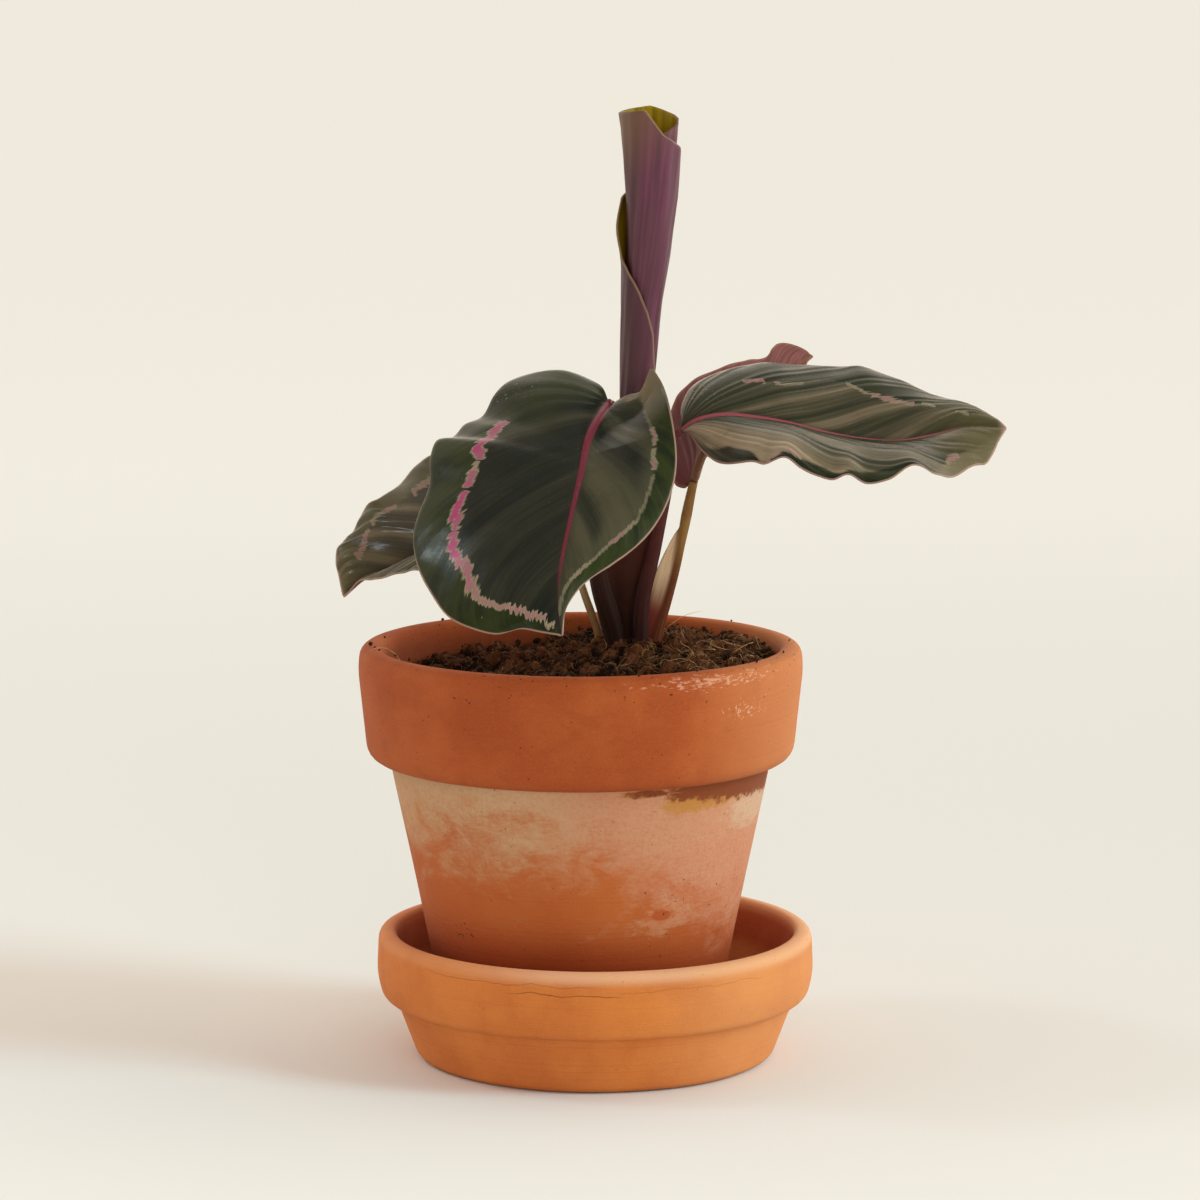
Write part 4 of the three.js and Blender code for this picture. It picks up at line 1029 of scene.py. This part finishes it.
def make_stalk(name, stalk, material):
    """A round stalk along a smooth path; its wing is the thin sheath that stands out on one side"""
    path = [*stalk["path"]]
    if "blade" in stalk:
        blade = LEAVES[stalk["blade"]]
        base, following = np.array(blade["midrib"][:2], float)
        away = unit(np.array(blade.get("held_from", base - following)))
        gap = BLADE_THICKNESS / 2 + RIB_HEIGHT if "held_from" in blade else 0.1
        path += [base + away * (JOINT_LENGTH + gap), base + away * gap]
    curve = SmoothCurve(path)
    shares = np.linspace(0, 1, STALK_STEPS + 1)
    centre, heading = curve.along(shares), curve.heading(shares)
    across = unit(np.cross([0, -1, 0], heading))
    forward = np.cross(heading, across)
    shares = shares[:, None]
    radius, width = (evenly(stalk.get(key, stalk["radii"]), shares) for key in ("radii", "widths"))
    low, high, reach, power = stalk.get("wing", (0, 1, 0, 1))
    wing = reach * np.maximum(np.sin(np.pi * np.clip((shares - low) / (high - low), 0, 1)), 0) ** power
    turn = np.linspace(0, 2 * math.pi, STALK_SIDES, endpoint=False)
    out = np.cos(turn)
    stands = np.clip((out - 0.5) / 0.5, 0, 1)
    wide = (width + 0.05 * np.cos(turn * 7) * radius) * out + stands * wing
    deep = radius * np.sin(turn) * (1 - 0.7 * stands * smooth(wing, 0, 1))
    points = centre[:, None] + across[:, None] * wide[..., None] + forward[:, None] * deep[..., None]
    values = {"along": shares, "turn": turn, "wing": stands * wing}
    values = {key: np.broadcast_to(field, wide.shape) for key, field in values.items()}
    faces = tube_faces(STALK_STEPS + 1, STALK_SIDES)
    make_piece(name + "_skin", points.reshape(-1, 3), faces, [material], name, values)


# Clay shapes

def rounded(corners, steps=7):
    """A profile of [radius, height, rounding] corners with each corner eased by a small curve"""
    profile = []
    for index, (radius, height, *ease) in enumerate(corners):
        spot = np.array([radius, height], float)
        if not ease:
            profile.append(spot)
            continue
        before, after = (spot + unit(corners[k % len(corners)][:2] - spot) * ease[0]
                         for k in (index - 1, index + 1))
        for share in np.linspace(0, 1, steps):
            profile.append((1 - share) ** 2 * before + 2 * share * (1 - share) * spot + share ** 2 * after)
    return profile


def filled_in(profile, longest=4.0):
    """Adds points to a closed profile wherever two of them are far apart"""
    result = []
    for a, b in zip(profile, profile[1:] + profile[:1]):
        pieces = max(1, int(np.linalg.norm(b - a) / longest))
        result += [a + (b - a) * k / pieces for k in range(pieces)]
    return result


def turned(name, corners, centre_x, material, node):
    """A piece of clay turned on a wheel, whose profile strays a little as it goes round"""
    profile = filled_in(rounded(corners))
    points = []
    for angle in np.linspace(0, 2 * math.pi, CLAY_STEPS, endpoint=False):
        aim = Vector((math.cos(angle), math.sin(angle), 0))
        for radius, height in profile:
            stray = CLAY_WOBBLE * noise.noise(aim * 1.7 + Vector((0, 0, height * 0.03)))
            out = radius + stray * min(1, radius / 20)
            points.append((centre_x + out * aim.x, out * aim.y, height + 0.4 * stray * (height > 1)))
    # No faces along the axis itself, where the points of all the rounds are welded into one
    off_axis = [radius > 1e-6 for radius, _ in profile]
    faces = [face[::-1] for face in quads(CLAY_STEPS, len(profile), True, True)
             if any(off_axis[corner % len(profile)] for corner in face)]
    piece = make_piece(name, points, faces, [material], node)
    shape = bmesh.new()
    shape.from_mesh(piece.data)
    bmesh.ops.remove_doubles(shape, verts=shape.verts, dist=1e-6)
    shape.to_mesh(piece.data)
    shape.free()


def saucer_profile():
    outside = SAUCER_RADIUS - 0.5
    inside = outside - SAUCER_LIP
    return [
        [0, 0], [SAUCER_FOOT_RADIUS, 0, 2.4], [SAUCER_RADIUS - 5.3, SAUCER_BAND_BOTTOM, 0.7],
        [SAUCER_RADIUS - 1.6, SAUCER_BAND_BOTTOM + 0.8, 2.2], [SAUCER_RADIUS, SAUCER_BAND_BOTTOM + 7.4, 3],
        [outside, SAUCER_HEIGHT, 3.2], [inside, SAUCER_HEIGHT, 1.6], [inside - 1.7, 20, 4],
        [48, SAUCER_FLOOR, 4], [0, SAUCER_FLOOR],
    ]


def body_radius(height):
    return POT_FOOT_RADIUS + (height - POT_FOOT) * POT_TAPER


def inner_radius(height):
    if height < BAND_BOTTOM:
        return body_radius(height) - POT_WALL
    return BAND_INSIDE + (height - BAND_BOTTOM) * BAND_FLARE


def pot_profile():
    step = BAND_BOTTOM - 2
    lip = BAND_RADIUS - 0.6
    return [
        [DRAIN_RADIUS, POT_FOOT, 0.8], [POT_FOOT_RADIUS, POT_FOOT, 1.5],
        [body_radius(BAND_BOTTOM), BAND_BOTTOM, 0.8], [BAND_RADIUS - 3, BAND_BOTTOM, 4.8],
        [BAND_RADIUS, POT_TOP - 6.9, 3], [lip, POT_TOP, 3.4], [lip - POT_LIP, POT_TOP, 2.4],
        [BAND_INSIDE, BAND_BOTTOM + 3, 3], [inner_radius(step), step, 3],
        [inner_radius(POT_FLOOR), POT_FLOOR, 4], [DRAIN_RADIUS, POT_FLOOR, 0.8],
    ]


# Soil

def mound(x, y, middle, reach):
    """A soft round or oval heap of height 1"""
    return math.exp(-((x - middle[0]) / reach[0]) ** 2 - ((y - middle[1]) / reach[1]) ** 2)


def soil_relief(x, y):
    """Clods and grains on the soil"""
    spot = Vector((x, y, 0))
    clods = 4.0 * (0.42 - noise.voronoi(spot * 0.17)[0][0]) + noise.noise(spot * 0.5) * 1.2
    return clods + noise.noise(spot * 1.3) * 0.8 + noise.noise(spot * 2.9) * 0.4


def soil_height(x, y):
    """The soil rises round the stalks and to the right; a hollow at the left has a heap beside it"""
    crown = mound(x, y, CROWN, (CROWN_SPREAD, CROWN_SPREAD))
    side = float(smooth(x + 0.25 * y, -10, 24))
    lumps = math.sin(x / 3.1 + 1.3) * math.sin(y / 2.7) + 0.6 * math.sin((x + y) / 1.9)
    even = SOIL_LOW + CROWN_RISE * crown + SIDE_RISE * side * (1 - crown) + LUMP_RISE * lumps
    heap = 1.8 * mound(x, y, HEAP, (9, 8)) - 3.4 * mound(x, y, HOLLOW, (14, 24))
    return even + soil_relief(x, y) + heap


def soil_painted_shade(x, y):
    """Painted shade and light on the soil: 0 in the gaps and the hollow, 1 on top of the clods, and higher
    towards the right
    """
    shade = 0.45 + 0.45 * soil_relief(x, y) + 0.2 * smooth(x, 5, 30) - 0.5 * mound(x, y, HOLLOW, (14, 20))
    return float(np.clip(shade, 0, 1))


def make_soil(material):
    """Rings of points up along the pot's wall, then inward over the rough top"""
    edge = inner_radius(SOIL_LOW) - 0.5
    rings = [
        (inner_radius(POT_FLOOR) - 4.5, POT_FLOOR + 0.3), (inner_radius(POT_FLOOR + 4) - 0.5, POT_FLOOR + 4),
        (inner_radius(BAND_BOTTOM - 2) - 0.6, BAND_BOTTOM - 2),
        (inner_radius(BAND_BOTTOM) - 1.2, BAND_BOTTOM + 4.5), (edge, SOIL_LOW - 5),
    ]
    rings += [(edge * share, None) for share in np.linspace(1, 0, SOIL_RINGS + 1)[:-1]]
    points = []
    for radius, height in rings:
        dip = EDGE_DIP * float(smooth(radius / edge, 0.9, 1.0))
        for angle in np.linspace(0, 2 * math.pi, SOIL_SIDES, endpoint=False):
            x, y = POT_X + radius * math.cos(angle), radius * math.sin(angle)
            points.append((x, y, soil_height(x, y) - dip if height is None else height))
    faces = tube_faces(len(rings), SOIL_SIDES)
    shade = [soil_painted_shade(x, y) for x, y, _ in points]
    make_piece("soil_mound", points, faces, [material], "soil", {"shade": shade})


class Litter:
    """Many small bodies with the same pattern of faces, gathered into one piece"""

    def __init__(self, pattern):
        self.pattern = pattern
        self.points, self.faces, self.shade = [], [], []

    def drop(self, points, shade):
        start = len(self.points)
        self.points.extend(points)
        self.faces.extend([start + corner for corner in face] for face in self.pattern)
        self.shade.extend([shade] * len(points))

    def finish(self, name, material, smooth_faces):
        make_piece(name, self.points, self.faces, [material], values={"shade": self.shade},
                   smooth_faces=smooth_faces)


def soil_spot(rng, outer=1.0):
    """A random place on the soil, not further out than a share of its radius"""
    edge = inner_radius(SOIL_LOW) - 1.6
    angle, share = rng.uniform(0, 2 * math.pi), math.sqrt(rng.uniform(0, outer ** 2))
    return POT_X + edge * share * math.cos(angle), edge * share * math.sin(angle)


def icosahedron():
    golden = (1 + 5 ** 0.5) / 2
    base = np.array([(a, b * golden, 0) for a in (-1, 1) for b in (-1, 1)])
    return np.concatenate([base, base[:, [2, 0, 1]], base[:, [1, 2, 0]]])


def icosahedron_faces():
    shape = bmesh.new()
    for spot in icosahedron():
        shape.verts.new(spot)
    shape.verts.index_update()
    hull = bmesh.ops.convex_hull(shape, input=shape.verts)
    faces = [[v.index for v in f.verts] for f in hull["geom"] if isinstance(f, bmesh.types.BMFace)]
    shape.free()
    return faces


def lump(rng, centre, size):
    """A small angular clod: a squashed, turned and shaken icosahedron"""
    shaken = icosahedron() / 1.9 * rng.uniform(0.72, 1.25, (12, 1)) * rng.uniform(0.5, 1.1, 3)
    spin = np.linalg.qr(rng.normal(size=(3, 3)))[0]
    return shaken @ spin.T * size + centre


def make_crumbs(material):
    """Small clods strewn over the soil, and a few on the pot's rim"""
    rng = np.random.default_rng(SEED)
    crumbs = Litter(icosahedron_faces())
    for _ in range(CRUMB_COUNT):
        x, y = soil_spot(rng)
        size = 0.4 + 1.5 * rng.random() ** 4
        # Crumbs have a random tone, darkened in the gaps by the soil's painted shade
        shade = (0.25 + 0.75 * soil_painted_shade(x, y)) * rng.random() ** 1.3
        crumbs.drop(lump(rng, (x, y, soil_height(x, y) + size * 0.1), size), shade)
    for x, y, size in RIM_CRUMBS:
        crumbs.drop(lump(rng, (x, y, POT_TOP + size * 0.55), size), 0.25)
    crumbs.finish("soil_crumbs", material, False)


def strand(path, width):
    """The points of a thin strand, row by row along a path; it thins at both ends"""
    curve = SmoothCurve(path)
    shares = np.linspace(0, 1, STRAND_ROWS)
    heading = curve.heading(shares)
    sideways = unit(np.cross(heading, [0.3, 0.2, 0.93]))
    upright = np.cross(heading, sideways)
    thick = width * (1 - 0.75 * np.abs(2 * shares - 1) ** 3)[:, None]
    turns = [math.tau * side / STRAND_SIDES for side in range(STRAND_SIDES)]
    sides = [(sideways * math.cos(turn) + upright * math.sin(turn)) * thick for turn in turns]
    return (curve.along(shares)[:, None] + np.stack(sides, 1)).reshape(-1, 3)


def make_fibres(material):
    """Thin coir strands that lie in loose arcs on the soil; a few hang over the rim"""
    rng = np.random.default_rng(SEED + 1)
    fibres = Litter(tube_faces(STRAND_ROWS, STRAND_SIDES))
    edge = inner_radius(SOIL_LOW) - 2.5
    for _ in range(STRAND_TRIES):
        x, y = soil_spot(rng, 0.96)
        right = float(smooth(x, 0, 26))
        if rng.random() > 0.4 + 0.5 * right:
            continue
        heading, bend = rng.uniform(0, 2 * math.pi), rng.normal(0, 0.4)
        length = rng.uniform(2.0, 7.0 + 3.0 * right)
        lift = rng.uniform(0.1, 1.6) * rng.random()
        path = []
        for k in range(5):
            if (x - POT_X) ** 2 + y ** 2 > edge ** 2:
                x, y = POT_X + (x - POT_X) * 0.96, y * 0.96
            arch = math.sin(math.pi * k / 4)
            path.append((x + 1e-3 * k, y, soil_height(x, y) + 0.25 + lift * arch))
            x += length / 4 * math.cos(heading)
            y += length / 4 * math.sin(heading)
            heading += bend + rng.normal(0, 0.3)
        # Fibres have a random tone and are lighter towards the right, which is painted light
        fibres.drop(strand(path, rng.uniform(0.05, 0.12)), rng.random() ** 2.2 * (0.6 + 0.4 * right))
    for path in LOOSE_STRANDS:
        fibres.drop(strand(path, 0.08), 1.0)
    fibres.finish("coir_fibres", material, True)


# The scene

def build_clay():
    turned("saucer_body", saucer_profile(), 0, saucer_material(), "saucer")
    turned("pot_body", pot_profile(), POT_X, pot_material(), "pot")


def build_soil():
    make_soil(soil_material())
    make_crumbs(crumb_material())
    make_fibres(fibre_material())
    # The buried stem and its roots keep their solid shape
    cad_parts["rhizome"].data.materials[0] = root_material()


def build_plant():
    under = underside_material()
    for name, leaf in LEAVES.items():
        upper = leaf_material(name + "_top", {**PALETTE, **LOOKS[name]})
        make_leaf(name, leaf, [upper, under, upper])
    outside = roll_outside_material()
    make_roll([outside, roll_inside_material(), outside])
    for name, stalk in STALKS.items():
        make_stalk(name, stalk, stalk_material(name, *stalk["colours"]))


def build_stage():
    """A pale floor that fills the view, in a room whose walls are bright except on the camera's side"""
    bpy.ops.mesh.primitive_circle_add(vertices=96, radius=60.0, fill_type="NGON", location=(0, 0, -0.0002))
    floor = bpy.context.object
    floor.name = "paper_floor"
    floor.data.materials.append(floor_material())
    bpy.context.scene.world = bpy.data.worlds.new("studio")
    room = Nodes(bpy.context.scene.world)
    right, back, up = room.split(room.add("ShaderNodeTexCoord", {}, "Generated"))
    walls = back.fade(*ROOM_FRONT_FADE) * up.fade(*ROOM_TOP_FADE)
    light = room.mix(walls, ROOM_DARK, ROOM_BRIGHT)
    light = room.mix(walls * right.fade(0.1, 0.9), light, ROOM_RIGHT)
    room.tree.links.new(light.socket, room.tree.nodes["Background"].inputs["Color"])


def add_lamp(name, kind, azimuth, height, power, size, tint, glossy=False):
    """A lamp that looks at the object from an azimuth (0 is the camera's side) and a height in degrees"""
    lamp = bpy.data.lights.new(name, kind)
    lamp.energy = power
    lamp.color = tint
    if kind == "SUN":
        lamp.angle = math.radians(size)
    else:
        lamp.shape = "RECTANGLE"
        lamp.size, lamp.size_y = size
    stand = bpy.data.objects.new(name, lamp)
    bpy.context.scene.collection.objects.link(stand)
    stand.visible_glossy = glossy
    a, e = math.radians(azimuth), math.radians(height)
    back = Vector((math.sin(a) * math.cos(e), -math.cos(a) * math.cos(e), math.sin(e)))
    stand.location = Vector((0, 0, 0.12)) + back * LAMP_REACH
    stand.rotation_euler = (-back).to_track_quat("-Z", "Y").to_euler()


def build_camera():
    data = bpy.data.cameras.new("camera")
    data.lens = CAMERA_LENS
    data.sensor_width = 36.0
    data.clip_start, data.clip_end = 0.05, 200.0
    camera = bpy.data.objects.new("camera", data)
    camera.location = Vector(CAMERA_PLACE) * MM
    camera.rotation_euler = (math.radians(90 - CAMERA_DIP), 0, 0)
    bpy.context.scene.collection.objects.link(camera)
    bpy.context.scene.camera = camera
    bpy.context.scene.view_settings.view_transform = "Standard"


build_camera()
build_stage()
add_lamp("key", "SUN", azimuth=70, height=30, power=1.4, size=18, tint=(0.54, 0.89, 1.0))
add_lamp("fill", "AREA", azimuth=12, height=12, power=5.5, size=(0.8, 0.5), tint=(1.0, 0.96, 0.9))
add_lamp("window", "AREA", -92, 48, power=1.9, size=(0.2, 0.2), tint=(0.8, 0.92, 1.0), glossy=True)
build_clay()
build_soil()
build_plant()
